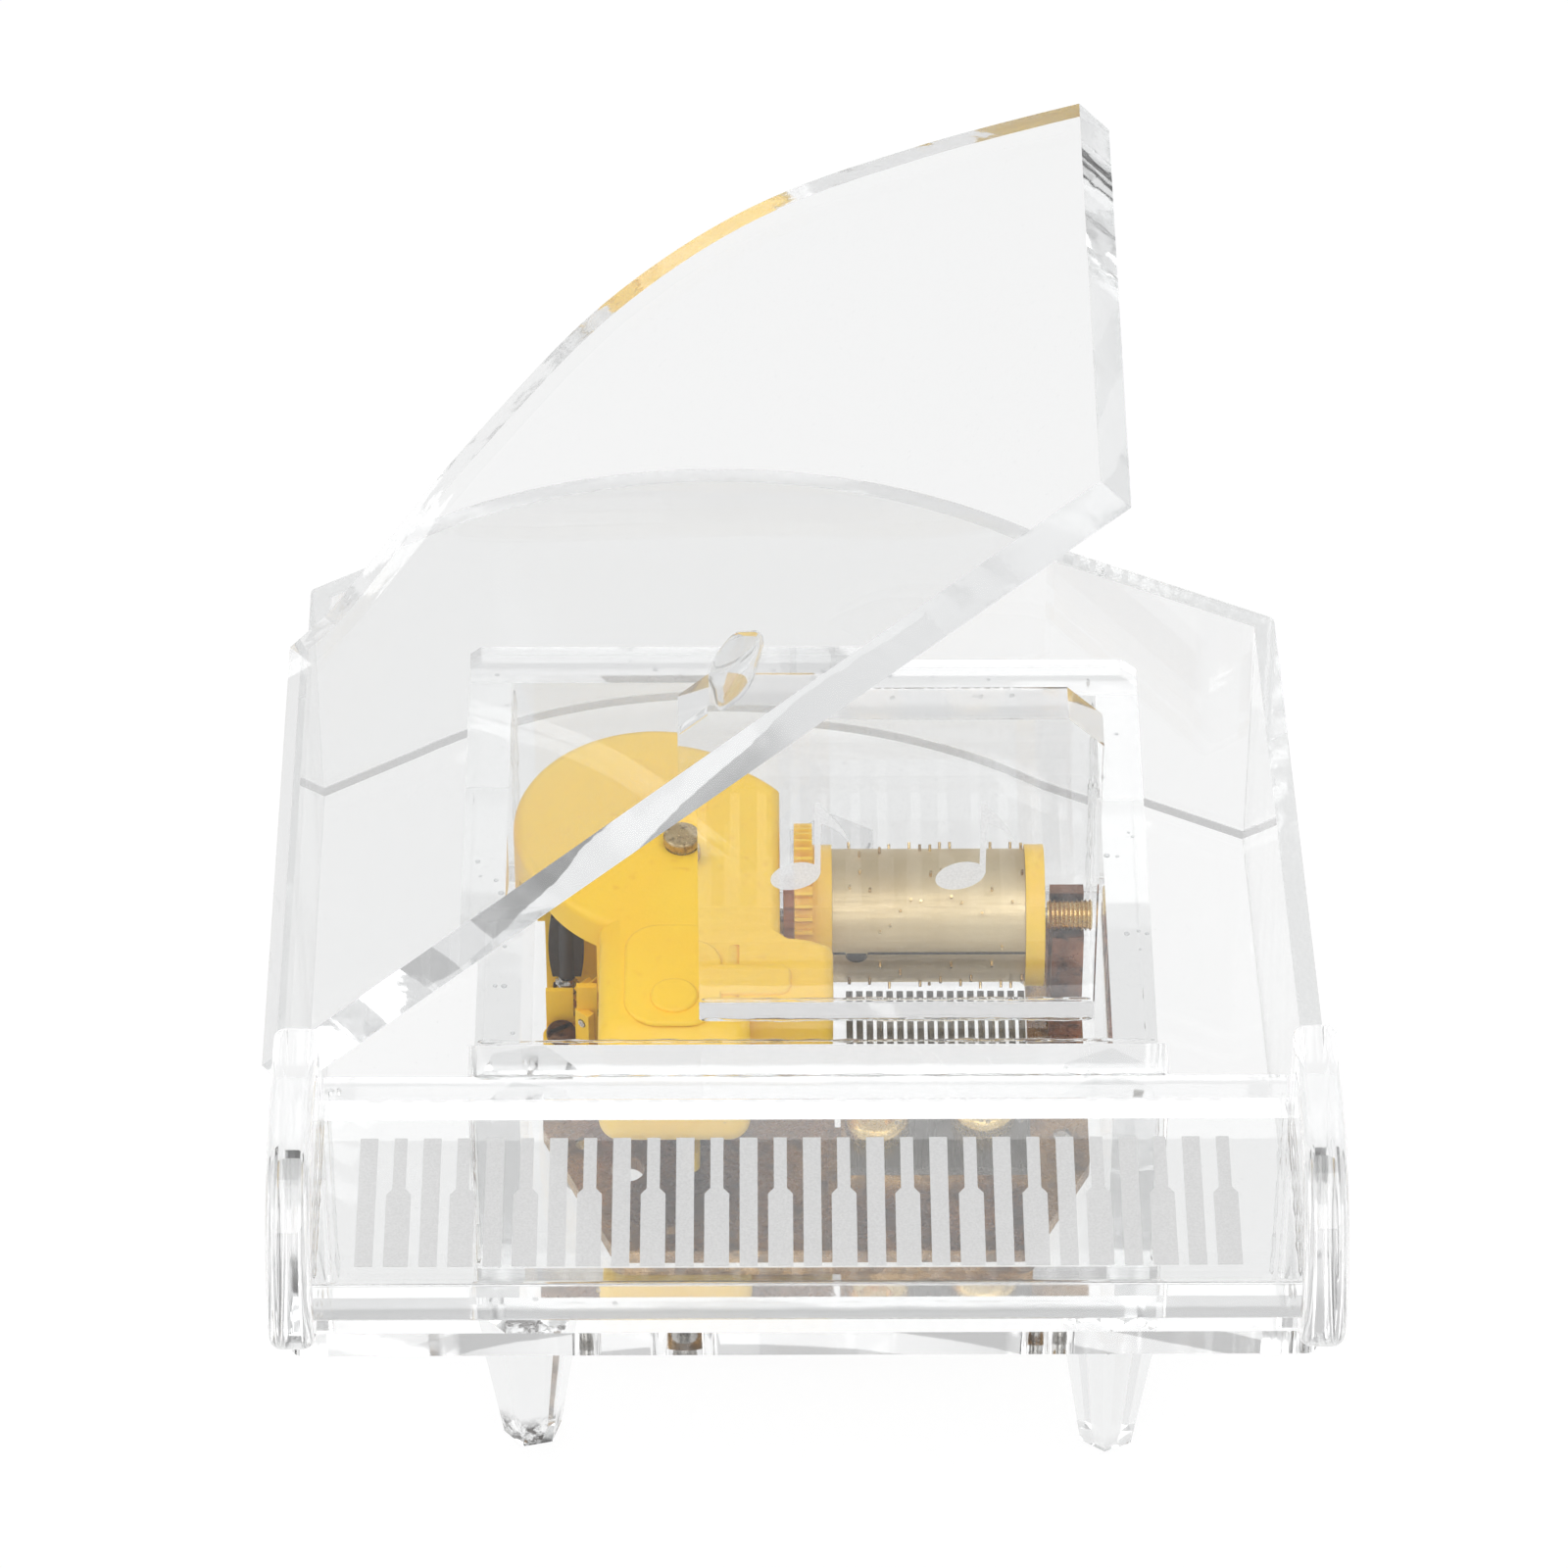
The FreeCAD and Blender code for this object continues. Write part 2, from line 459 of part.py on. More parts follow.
relief.append(rrect(-16.6, -7.6, 17.4, 30.6, 3.2, Z_TOP - 0.1, Z_TOP + 0.35))
relief.append(rrect(-9.4, -1.2, 23.3, 27.2, 1.2, Z_TOP - 0.1, Z_TOP + 0.35))
hs = hs.fuse(relief).removeSplitter()
boss = cyl(2.2, Z_TOP + 0.2, Z_TOP + 0.7, -12.0, 20.9)
boss = boss.makeFillet(0.3, [e for e in boss.Edges if e.BoundBox.ZMin > Z_TOP + 0.69])
hs = hs.fuse(boss).removeSplitter()
hs = max(hs.Solids, key=lambda q: q.Volume)
best = hs
for rr in (1.6, 1.2, 0.9, 0.6):
    try:
        es = [e for e in hs.Edges if abs(e.BoundBox.ZMin - Z_TOP) < 1e-4 and abs(e.BoundBox.ZMax - Z_TOP) < 1e-4 and (mid(e).y > 31.2 or mid(e).x > 1.0)]
        es = [e for e in es if (V(mid(e).x, mid(e).y, 0) - V(ARB[0], ARB[1], 0)).Length > 3]
        f = hs.makeFillet(rr, es)
        if f.isValid() and len(f.Solids) == 1 and 0 < hs.Volume - f.Volume < 120:
            best = f.Solids[0]
            print("housing top edge fillet", rr)
            break
    except Exception as ex:
        print("fillet", rr, "failed", ex)
hs = best
emit("spring_housing", hs)

# governor base (moulded ledge) with the worm's lower bearing, a post for the governor wheel and a screw boss
led = prism([(-24.4, 30.4), (-18.2, 27.6), (-15.6, 28.4), (-19.2, 30.9), (-19.6, 39.2), (-24.4, 39.2)][::-1], Z_BT + 0.02, 7.2)
led = fuse([led, cyl(1.75, Z_BT + 0.02, 8.0, *LEDGE_SCREW)])
led = fuse([led, cyl(1.2, Z_BT + 0.02, 7.6, *WORM)])
led = led.cut(cyl(R_WHEEL + 0.3, 0, 12.0, *ARB))
# two thin webs that close the governor bay towards the front, below the fly
led = fuse([led, box(-24.35, -21.75, 34.62, 35.1, Z_BT + 0.02, 12.35)])
web = box(-21.35, -19.42, 31.95, 32.55, Z_BT + 0.02, 15.4)
led = fuse([led, web])
post = Part.makeBox(0.8, 1.7, GOV_Z + 1.3 - Z_BT - 0.02, V(1.9, -0.85, Z_BT + 0.02))
post.rotate(V(0, 0, 0), V(0, 0, 1), math.degrees(d_ang))
post.translate(WC)
led = fuse([led, post])
led = led.cut(Part.makeCylinder(0.45, 4, WC + D * 0.8 + V(0, 0, GOV_Z), D))
led = led.cut(cyl(0.45, 6.0, 9.0, *WORM)).cut(cyl(0.75, 0, 9, *LEDGE_SCREW))
emit("governor_base", led)
emit("housing_screws", group([pan_screw(LEDGE_SCREW[0], LEDGE_SCREW[1], 8.02, 1.42, 0.95, 0.72, Z_BP + 0.1, 30, True),
                              ]))

# mainspring: a flat strip wound in a spiral round the arbor
turns, r0, r1 = 6.0, 2.15, 6.7
n = 40 * int(turns)
ti = 0.22
outer, inner = [], []
for k in range(n + 1):
    t = 2 * math.pi * turns * k / n
    r = r0 + (r1 - r0) * k / n
    outer.append(V(ARB[0] + (r + ti / 2) * math.cos(t), ARB[1] + (r + ti / 2) * math.sin(t), 10.0))
    inner.append(V(ARB[0] + (r - ti / 2) * math.cos(t), ARB[1] + (r - ti / 2) * math.sin(t), 10.0))
c1 = Part.BSplineCurve()
c1.interpolate(outer[::4])
c2 = Part.BSplineCurve()
c2.interpolate(inner[::4])
w = Part.Wire([c1.toShape(), Part.LineSegment(outer[-1], inner[-1]).toShape(), c2.toShape(), Part.LineSegment(inner[0], outer[0]).toShape()])
emit("mainspring", Part.Face(w).extrude(V(0, 0, 11.0)))

# ---------------------------------------------------------------- winder: arbor, great wheel, key
arbor = fuse([cyl(1.6, 3.9, Z_TOP + 0.32, *ARB), cyl(1.9, 9.2, 21.6, *ARB), cyl(2.42, Z_BT + 0.35 - 1.3, Z_BT + 1.2, *ARB), cyl(1.3, -2.6, 4.2, *ARB)])
emit("spring_arbor", arbor)
cap = cyl(1.75, Z_TOP + 0.34, Z_TOP + 1.25, *ARB)
cap = cap.makeFillet(0.3, [e for e in cap.Edges if e.BoundBox.ZMin > Z_TOP + 1.2])
emit("arbor_rivet", cap)

TOOTH_TOP = CYL_Z - R_GEAR + 0.10
disc = cyl(R_WHEEL, 6.2, 7.55, *ARB).cut(cyl(1.62, 0, 20, *ARB))
disc = fuse([disc, cyl(3.6, 5.9, 8.7, *ARB).cut(cyl(1.62, 0, 20, *ARB))])
teeth = []
mesh1 = math.degrees(math.asin((CYL_Y - ARB[1]) / R_CROWN))
for k in range(N_CROWN):
    a = mesh1 + 3.0 + 6.0 * k
    w0, w1 = 0.30, 0.16
    prof = Part.makePolygon([V(10.65, -w0, 7.4), V(10.65, w0, 7.4), V(10.65, w1, TOOTH_TOP), V(10.65, -w1, TOOTH_TOP), V(10.65, -w0, 7.4)])
    t = Part.Face(prof).extrude(V(R_WHEEL - 10.67, 0, 0))
    t.rotate(V(0, 0, 0), V(0, 0, 1), a)
    t.translate(V(ARB[0], ARB[1], 0))
    teeth.append(t)
gw = disc.multiFuse(teeth)
for k in range(5):
    a = math.radians(72 * k + 20)
    gw = gw.cut(cyl(2.1, 0, 20, ARB[0] + 7.0 * math.cos(a), ARB[1] + 7.0 * math.sin(a)))
emit("great_wheel", gw)

kx, ky = ARB
wing = Part.makeBox(15.0, 1.8, 8.0, V(kx - 7.5, ky - 0.9, -13.4))
wing = wing.makeFillet(3.4, [e for e in wing.Edges if abs(mid(e).y - ky) < 1e-6 and abs(abs(mid(e).x - kx) - 7.5) < 1e-6])
for sx in (-1, 1):
    wing = wing.cut(Part.makeCylinder(1.9, 6, V(kx + sx * 4.2, ky - 3, -9.4), V(0, 1, 0)))
key = fuse([wing, cyl(2.4, -6.4, -0.8, kx, ky), cyl(2.0, -8.0, -6.0, kx, ky)])
key = key.cut(cyl(1.32, -2.62, 2, kx, ky))
emit("winding_key", key)

# ---------------------------------------------------------------- cylinder group
emit("cylinder_arbor", fuse([cylx(0.6, -3.15, 24.9, CYL_Y, CYL_Z)]))
sleeve = cylx(CYL_R, 2.72, 20.88, CYL_Y, CYL_Z).cut(cylx(CYL_R - 0.7, 0, 30, CYL_Y, CYL_Z))
# seam with its half-round notch at the left end
a0 = math.radians(180 + 20)
notch = Part.makeCylinder(1.15, 4, V(5.2, CYL_Y - CYL_R * math.cos(math.radians(20)) - 2, CYL_Z - 1.9), V(0, 1, 0))
emit("cylinder_sleeve", sleeve)
pins = []
seed = 7
for t in range(N_TEETH):
    xc = 4.35 + 0.955 * t
    for m in range(4):
        seed = (seed * 1103515245 + 12345) % 2147483648
        a = math.radians((seed / 2147483648.0) * 76 + 90 * m)
        c = Part.makeCylinder(0.14, 0.62, V(xc, CYL_Y + (CYL_R - 0.0) * math.cos(a), CYL_Z + (CYL_R - 0.0) * math.sin(a)), V(0, math.cos(a), math.sin(a)))
        c.translate(V(0, -0.0 * math.cos(a), 0))
        pins.append(c)
emit("cylinder_pins", group(pins))


def spur_x(x0, x1, r_root, r_tip, n, w_root, w_tip, phase):
    body = [cylx(r_root, x0, x1, 0, 0)]
    for k in range(n):
        prof = Part.makePolygon([V(x0, -w_root / 2, -(r_root - 0.15)), V(x0, w_root / 2, -(r_root - 0.15)), V(x0, w_tip / 2, -r_tip), V(x0, -w_tip / 2, -r_tip), V(x0, -w_root / 2, -(r_root - 0.15))])
        t = Part.Face(prof).extrude(V(x1 - x0, 0, 0))
        t.rotate(V(0, 0, 0), V(1, 0, 0), phase + 360.0 * k / n)
        body.append(t)
    return body[0].multiFuse(body[1:])


gear = spur_x(-0.85, 0.85, R_GEAR - 0.42, R_GEAR + 0.34, N_CYL, 0.56, 0.30, 0.0)
gear.translate(V(0, CYL_Y, CYL_Z))
gear = fuse([gear, cylx(6.7, 0.84, 2.7, CYL_Y, CYL_Z)]).cut(cylx(0.62, -2, 4, CYL_Y, CYL_Z))
emit("cylinder_gear", gear)
pin = spur_x(-1.85, -0.87, 3.3, 3.8, 12, 0.9, 0.6, 0.0)
pin.translate(V(0, CYL_Y, CYL_Z))
emit("cylinder_hub", pin.cut(cylx(0.62, -3, 4, CYL_Y, CYL_Z)))
capx = cylx(6.7, 20.9, 22.7, CYL_Y, CYL_Z).cut(cylx(0.62, 19, 24, CYL_Y, CYL_Z))
emit("cylinder_end_cap", capx)

# ---------------------------------------------------------------- governor
gwheel = spur_x(-0.6, 0.6, R_GOV - 0.42, R_GOV + 0.33, N_GOV, 0.56, 0.30, 0.0)
gap = 1.508 + 6 * 38 - math.degrees(d_ang)
beta = math.degrees(R_CROWN * math.radians(gap) / R_GOV)
gwheel = gwheel.cut(cylx(0.41, -2, 2, 0, 0))
gwheel.rotate(V(0, 0, 0), V(1, 0, 0), beta)
gwheel.rotate(V(0, 0, 0), V(0, 0, 1), math.degrees(d_ang))
gwheel.translate(WC + V(0, 0, GOV_Z))
emit("governor_wheel", gwheel)
emit("governor_axle", Part.makeCylinder(0.4, 4.0, WC - D * 1.2 + V(0, 0, GOV_Z), D))

wx, wy = WORM
wz0, wz1 = GOV_Z - 1.3, GOV_Z + 1.35
worm = [cyl(0.4, 6.3, 21.9, wx, wy), cyl(0.8, wz0 - 0.1, wz1 + 0.1, wx, wy)]
helix = Part.makeHelix(2 * math.pi * R_GOV / N_GOV, wz1 - wz0 - 0.5, 0.75)
prof = Part.makePolygon([V(0.72, 0, -0.26), V(0.72, 0, 0.26), V(1.12, 0, 0.10), V(1.12, 0, -0.10), V(0.72, 0, -0.26)])
try:
    th = Part.Wire(helix).makePipeShell([prof], True, True)
    th.translate(V(wx, wy, wz0 + 0.25))
    wsh = fuse(worm)
    cand = wsh.fuse(th)
    if cand.isValid() and len(cand.Solids) == 1:
        wsh = cand
    else:
        print("worm thread not joined")
except Exception as ex:
    print("worm", ex)
    wsh = fuse(worm)
emit("governor_worm", wsh)
# fly: a soft vane pressed on the shaft, its long edges slightly bowed
fy0, fy1 = wz1 + 0.25, 20.35
vane = Part.Face(Part.Wire([
    edge((wx - 1.35, wy - 0.3, fy0), (wx + 1.35, wy - 0.3, fy0)),
    arc((wx + 1.35, wy - 0.3, fy0), (wx + 1.68, wy - 0.3, (fy0 + fy1) / 2), (wx + 1.35, wy - 0.3, fy1)),
    edge((wx + 1.35, wy - 0.3, fy1), (wx - 1.35, wy - 0.3, fy1)),
    arc((wx - 1.35, wy - 0.3, fy1), (wx - 1.68, wy - 0.3, (fy0 + fy1) / 2), (wx - 1.35, wy - 0.3, fy0)),
])).extrude(V(0, 0.6, 0))
fly = fuse([vane, cyl(0.75, fy0, fy1, wx, wy)]).cut(cyl(0.41, 0, 30, wx, wy))
emit("governor_fly", fly)

# ---------------------------------------------------------------- stop lever
lx, ly = LEVER
lev = fuse([
    cyl(2.1, 7.2, 8.7, lx, ly),
    box(lx - 0.8, lx + 0.8, 19.2, ly, 7.2, 8.7),
    cyl(0.8, 6.4, 8.7, lx, 19.2),
    cyl(1.1, 7.2, 9.9, lx - 1.0, ly + 0.4),
    prism([(lx - 1.0, ly + 0.9), (lx - 1.0, ly - 0.2), (lx - 5.8, ly + 0.9), (lx - 5.9, ly + 1.7)][::-1], 9.0, 9.9),
])
lev = lev.cut(cyl(0.95, 0, 20, lx, ly))
emit("stop_lever", lev)

bb = Part.makeCompound([s for n, s in nodes]).BoundBox
print("nodes", len(nodes))
print("X %.4f %.4f  Y %.4f %.4f  Z %.4f %.4f" % (bb.XMin, bb.XMax, bb.YMin, bb.YMax, bb.ZMin, bb.ZMax))
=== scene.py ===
import bpy
import bmesh
import math
import random
from mathutils import Matrix, Vector, noise


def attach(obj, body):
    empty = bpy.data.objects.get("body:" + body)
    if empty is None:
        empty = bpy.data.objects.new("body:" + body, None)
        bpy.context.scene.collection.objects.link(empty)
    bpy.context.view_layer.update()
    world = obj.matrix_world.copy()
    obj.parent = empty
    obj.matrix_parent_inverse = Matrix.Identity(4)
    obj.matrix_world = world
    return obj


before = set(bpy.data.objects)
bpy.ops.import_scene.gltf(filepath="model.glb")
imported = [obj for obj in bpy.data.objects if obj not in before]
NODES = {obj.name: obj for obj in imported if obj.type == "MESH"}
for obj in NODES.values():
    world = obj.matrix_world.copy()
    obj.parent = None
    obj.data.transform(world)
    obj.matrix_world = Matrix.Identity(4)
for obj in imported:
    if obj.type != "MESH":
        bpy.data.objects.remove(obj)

random.seed(11)


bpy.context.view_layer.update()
S = Vector((0.6639, -33.1497, 17.0))     # the same shift that the part's source uses, in millimetres


def P(x, y, z):
    """Row-frame point in metres from the working frame in millimetres."""
    return Vector(((x + S.x) / 1000, (y + S.y) / 1000, (z + S.z) / 1000))


# ------------------------------------------------------------------ material helpers
class Tree:
    def __init__(self, name):
        self.mat = bpy.data.materials.new(name)
        self.mat.use_nodes = True
        self.t = self.mat.node_tree
        self.t.nodes.clear()
        self.out = self.t.nodes.new("ShaderNodeOutputMaterial")
        self.coord = None

    def n(self, kind, **props):
        node = self.t.nodes.new(kind)
        for k, v in props.items():
            setattr(node, k, v)
        return node

    def link(self, a, b):
        self.t.links.new(a, b)

    def obj(self):
        if self.coord is None:
            self.coord = self.n("ShaderNodeTexCoord").outputs["Object"]
        return self.coord

    def mapping(self, scale=(1, 1, 1), rot=(0, 0, 0), loc=(0, 0, 0)):
        m = self.n("ShaderNodeMapping")
        m.inputs["Scale"].default_value = scale
        m.inputs["Rotation"].default_value = rot
        m.inputs["Location"].default_value = loc
        self.link(self.obj(), m.inputs["Vector"])
        return m.outputs["Vector"]

    def noise(self, scale, detail=3.0, rough=0.55, vec=None, dist=0.0):
        t = self.n("ShaderNodeTexNoise")
        t.inputs["Scale"].default_value = scale
        t.inputs["Detail"].default_value = detail
        t.inputs["Roughness"].default_value = rough
        t.inputs["Distortion"].default_value = dist
        self.link(vec if vec is not None else self.obj(), t.inputs["Vector"])
        return t.outputs["Fac"]

    def ramp(self, fac, stops):
        r = self.n("ShaderNodeValToRGB")
        e = r.color_ramp.elements
        while len(e) < len(stops):
            e.new(0.5)
        for el, (p, c) in zip(e, stops):
            el.position = p
            el.color = c if len(c) == 4 else (*c, 1)
        self.link(fac, r.inputs["Fac"])
        return r.outputs["Color"]

    def grey(self, fac, lo, hi, a=0.0, b=1.0):
        m = self.n("ShaderNodeMapRange")
        m.inputs["From Min"].default_value = a
        m.inputs["From Max"].default_value = b
        m.inputs["To Min"].default_value = lo
        m.inputs["To Max"].default_value = hi
        self.link(fac, m.inputs["Value"])
        return m.outputs["Result"]

    def mathn(self, op, a, b=None):
        m = self.n("ShaderNodeMath", operation=op)
        for i, v in enumerate((a, b)):
            if v is None:
                continue
            if isinstance(v, (int, float)):
                m.inputs[i].default_value = v
            else:
                self.link(v, m.inputs[i])
        return m.outputs[0]

    def mix(self, fac, a, b):
        m = self.n("ShaderNodeMix", data_type="RGBA")
        for s, v in ((0, fac), (6, a), (7, b)):
            if isinstance(v, (int, float)):
                m.inputs[s].default_value = v
            elif isinstance(v, tuple):
                m.inputs[s].default_value = (*v, 1) if len(v) == 3 else v
            else:
                self.link(v, m.inputs[s])
        return m.outputs[2]

    def bump(self, height, strength, distance, normal=None):
        b = self.n("ShaderNodeBump")
        b.inputs["Strength"].default_value = strength
        b.inputs["Distance"].default_value = distance
        self.link(height, b.inputs["Height"])
        if normal is not None:
            self.link(normal, b.inputs["Normal"])
        return b.outputs["Normal"]

    def bsdf(self, color=None, rough=None, normal=None, **consts):
        p = self.n("ShaderNodeBsdfPrincipled")
        for k, v in consts.items():
            p.inputs[k.replace("_", " ")].default_value = v
        if color is not None:
            if isinstance(color, tuple):
                p.inputs["Base Color"].default_value = (*color, 1)
            else:
                self.link(color, p.inputs["Base Color"])
        if rough is not None:
            if isinstance(rough, float):
                p.inputs["Roughness"].default_value = rough
            else:
                self.link(rough, p.inputs["Roughness"])
        if normal is not None:
            self.link(normal, p.inputs["Normal"])
        return p

    def done(self, shader):
        self.link(shader, self.out.inputs["Surface"])
        return self.mat


def srgb(r, g, b):
    def f(c):
        c /= 255.0
        return c / 12.92 if c <= 0.04045 else ((c + 0.055) / 1.055) ** 2.4
    return (f(r), f(g), f(b))


# ------------------------------------------------------------------ clear acrylic
def acrylic(name, axis, tint=(0.900, 0.903, 0.903), ripple=1.0, stretch=(1, 1, 1), foot_darkening=0.0, z_tip=None, edge_tint=0.93):
    """Clear cast sheet. axis is the sheet's own normal: faces square to it are the sawn and flame-polished edges, which are slightly rippled."""
    t = Tree(name)
    geo = t.n("ShaderNodeNewGeometry")
    dot = t.n("ShaderNodeVectorMath", operation="DOT_PRODUCT")
    t.link(geo.outputs["True Normal"], dot.inputs[0])
    dot.inputs[1].default_value = axis
    ab = t.mathn("ABSOLUTE", dot.outputs["Value"])
    edge = t.grey(ab, 1.0, 0.0, 0.55, 0.9)                      # 1 on the edges, 0 on the faces
    v = t.mapping(scale=stretch)
    saw = t.noise(380.0, 2.0, 0.4, v)
    wave = t.noise(110.0, 1.0, 0.4, v, 0.3)
    height = t.mathn("ADD", t.mathn("MULTIPLY", saw, 0.12), wave)
    height = t.mathn("MULTIPLY", height, edge)
    nrm = t.bump(height, 0.10 * ripple, 0.0010)
    film = t.noise(160.0, 4.0, 0.6)
    rough = t.mathn("ADD", t.grey(film, 0.0, 0.02, 0.45, 0.8), t.mathn("MULTIPLY", edge, 0.03))
    dust = t.noise(2600.0, 1.0, 0.4)
    speck = t.grey(dust, 0.0, 1.0, 0.735, 0.76)
    base = t.mix(t.mathn("MULTIPLY", speck, 0.35), tint, (0.70, 0.71, 0.72))
    base = t.mix(t.mathn("MULTIPLY", edge, 1.0 - edge_tint), base, (0.62, 0.64, 0.65))
    # darker towards the foot: below z_tip, fading out over 1.6 mm, the colour is mottled towards near-black
    if z_tip is not None:
        sep = t.n("ShaderNodeSeparateXYZ")
        t.link(t.obj(), sep.inputs[0])
        near = t.grey(sep.outputs["Z"], 1.0, 0.0, z_tip, z_tip + 0.0016)
        foot_mottle = t.grey(t.noise(700.0, 4.0, 0.7), 0.0, 1.0, 0.42, 0.56)
        base = t.mix(t.mathn("MULTIPLY", t.mathn("MULTIPLY", near, foot_mottle), foot_darkening), base, (0.012, 0.010, 0.009))
    p = t.bsdf(base, rough, nrm, IOR=1.491, Transmission_Weight=1.0)
    path = t.n("ShaderNodeLightPath")
    thru = t.n("ShaderNodeBsdfTransparent")
    thru.inputs["Color"].default_value = (0.95, 0.955, 0.955, 1)
    m = t.n("ShaderNodeMixShader")
    t.link(path.outputs["Is Shadow Ray"], m.inputs[0])
    t.link(p.outputs[0], m.inputs[1])
    t.link(thru.outputs[0], m.inputs[2])
    return t.done(m.outputs[0])


A43 = math.radians(43.0)
AX, AY, AZ = (1, 0, 0), (0, 1, 0), (0, 0, 1)
LIDN = (-math.sin(A43), 0, math.cos(A43))

glass = {
    "bottom_plate": acrylic("acrylic_bottom_plate", AZ, stretch=(1, 1, 0.15), tint=(0.962, 0.964, 0.964)),
    "fallboard": acrylic("acrylic_fallboard", AY, stretch=(1, 0.2, 1), tint=(0.962, 0.964, 0.964)),
    "key_bed": acrylic("acrylic_key_bed", AZ, stretch=(1, 1, 0.2), tint=(0.962, 0.964, 0.964)),
    "cheek_left": acrylic("acrylic_cheek_left", AX, stretch=(0.2, 1, 1), tint=(0.94, 0.942, 0.942)),
    "cheek_right": acrylic("acrylic_cheek_right", AX, stretch=(0.2, 1, 1), tint=(0.94, 0.942, 0.942)),
    "box_front_wall": acrylic("acrylic_front_wall", AY, stretch=(1, 0.2, 1), tint=(0.962, 0.964, 0.964)),
    "box_left_wall": acrylic("acrylic_left_wall", AX, stretch=(0.2, 1, 1), tint=(0.962, 0.964, 0.964)),
    "box_right_wall": acrylic("acrylic_right_wall", AX, stretch=(0.2, 1, 1), tint=(0.962, 0.964, 0.964)),
    "box_back_wall": acrylic("acrylic_back_wall", AY, stretch=(1, 0.2, 1), tint=(0.962, 0.964, 0.964)),
    "box_cover": acrylic("acrylic_box_cover", AZ, stretch=(1, 1, 0.2), tint=(0.962, 0.964, 0.964)),
    "music_rest": acrylic("acrylic_music_rest", AY, stretch=(1, 0.2, 1), tint=(0.962, 0.964, 0.964)),
    "lid": acrylic("acrylic_lid", LIDN, stretch=(1, 1, 1), edge_tint=0.70),
    # the smudge / foot_darkening amount sets how dark the mottled band at the foot of each front leg is
    "front_leg_left": acrylic("acrylic_leg_left", AZ, ripple=0.2, foot_darkening=1.0, z_tip=0.0014),
    "front_leg_right": acrylic("acrylic_leg_right", AZ, ripple=0.2, foot_darkening=0.35, z_tip=-0.0004),
    "rear_leg": acrylic("acrylic_rear_leg", AZ, ripple=0.2),
    "lid_cement_bead": acrylic("acrylic_cement", AZ, ripple=1.6, tint=(0.95, 0.955, 0.955)),
}


def rim_material():
    """The bent strip: its faces are upright, so only the top and bottom edges count as sawn edges. Bending leaves it slightly wavy."""
    t = Tree("acrylic_rim")
    geo = t.n("ShaderNodeNewGeometry")
    sep = t.n("ShaderNodeSeparateXYZ")
    t.link(geo.outputs["True Normal"], sep.inputs[0])
    edge = t.grey(t.mathn("ABSOLUTE", sep.outputs["Z"]), 0.0, 1.0, 0.4, 0.8)
    saw = t.noise(500.0, 3.0, 0.55)
    wave = t.noise(60.0, 2.0, 0.5, t.mapping(scale=(1, 1, 0.3)))
    h = t.mathn("ADD", t.mathn("MULTIPLY", t.mathn("MULTIPLY", saw, edge), 0.5), t.mathn("MULTIPLY", wave, 0.35))
    nrm = t.bump(h, 0.09, 0.001)
    film = t.noise(140.0, 4.0, 0.6)
    rough = t.mathn("ADD", t.grey(film, 0.0, 0.02, 0.45, 0.8), t.mathn("MULTIPLY", edge, 0.035))
    base = t.mix(t.mathn("MULTIPLY", edge, 0.08), (0.900, 0.903, 0.903), (0.60, 0.62, 0.63))
    p = t.bsdf(base, rough, nrm, IOR=1.491, Transmission_Weight=1.0)
    path = t.n("ShaderNodeLightPath")
    thru = t.n("ShaderNodeBsdfTransparent")
    thru.inputs["Color"].default_value = (0.95, 0.955, 0.955, 1)
    m = t.n("ShaderNodeMixShader")
    t.link(path.outputs["Is Shadow Ray"], m.inputs[0])
    t.link(p.outputs[0], m.inputs[1])
    t.link(thru.outputs[0], m.inputs[2])
    return t.done(m.outputs[0])


glass["rim_wall"] = rim_material()


# ------------------------------------------------------------------ etched marks
def frost(name, body, keep):
    t = Tree(name)
    grain = t.noise(5200.0, 2.0, 0.6)
    cloud = t.noise(420.0, 3.0, 0.5)
    col = t.mix(t.grey(cloud, 0.0, 0.35), body, tuple(c * 0.93 for c in body))
    nrm = t.bump(grain, 0.5, 0.00006)
    rough = t.grey(grain, 0.55, 0.8, 0.3, 0.7)
    p = t.bsdf(col, rough, nrm, IOR=1.49, Specular_IOR_Level=0.3)
    thru = t.n("ShaderNodeBsdfTransparent")
    m = t.n("ShaderNodeMixShader")
    t.link(t.grey(grain, keep - 0.05, keep + 0.05, 0.35, 0.65), m.inputs[0])
    t.link(thru.outputs[0], m.inputs[1])
    t.link(p.outputs[0], m.inputs[2])
    return t.done(m.outputs[0])


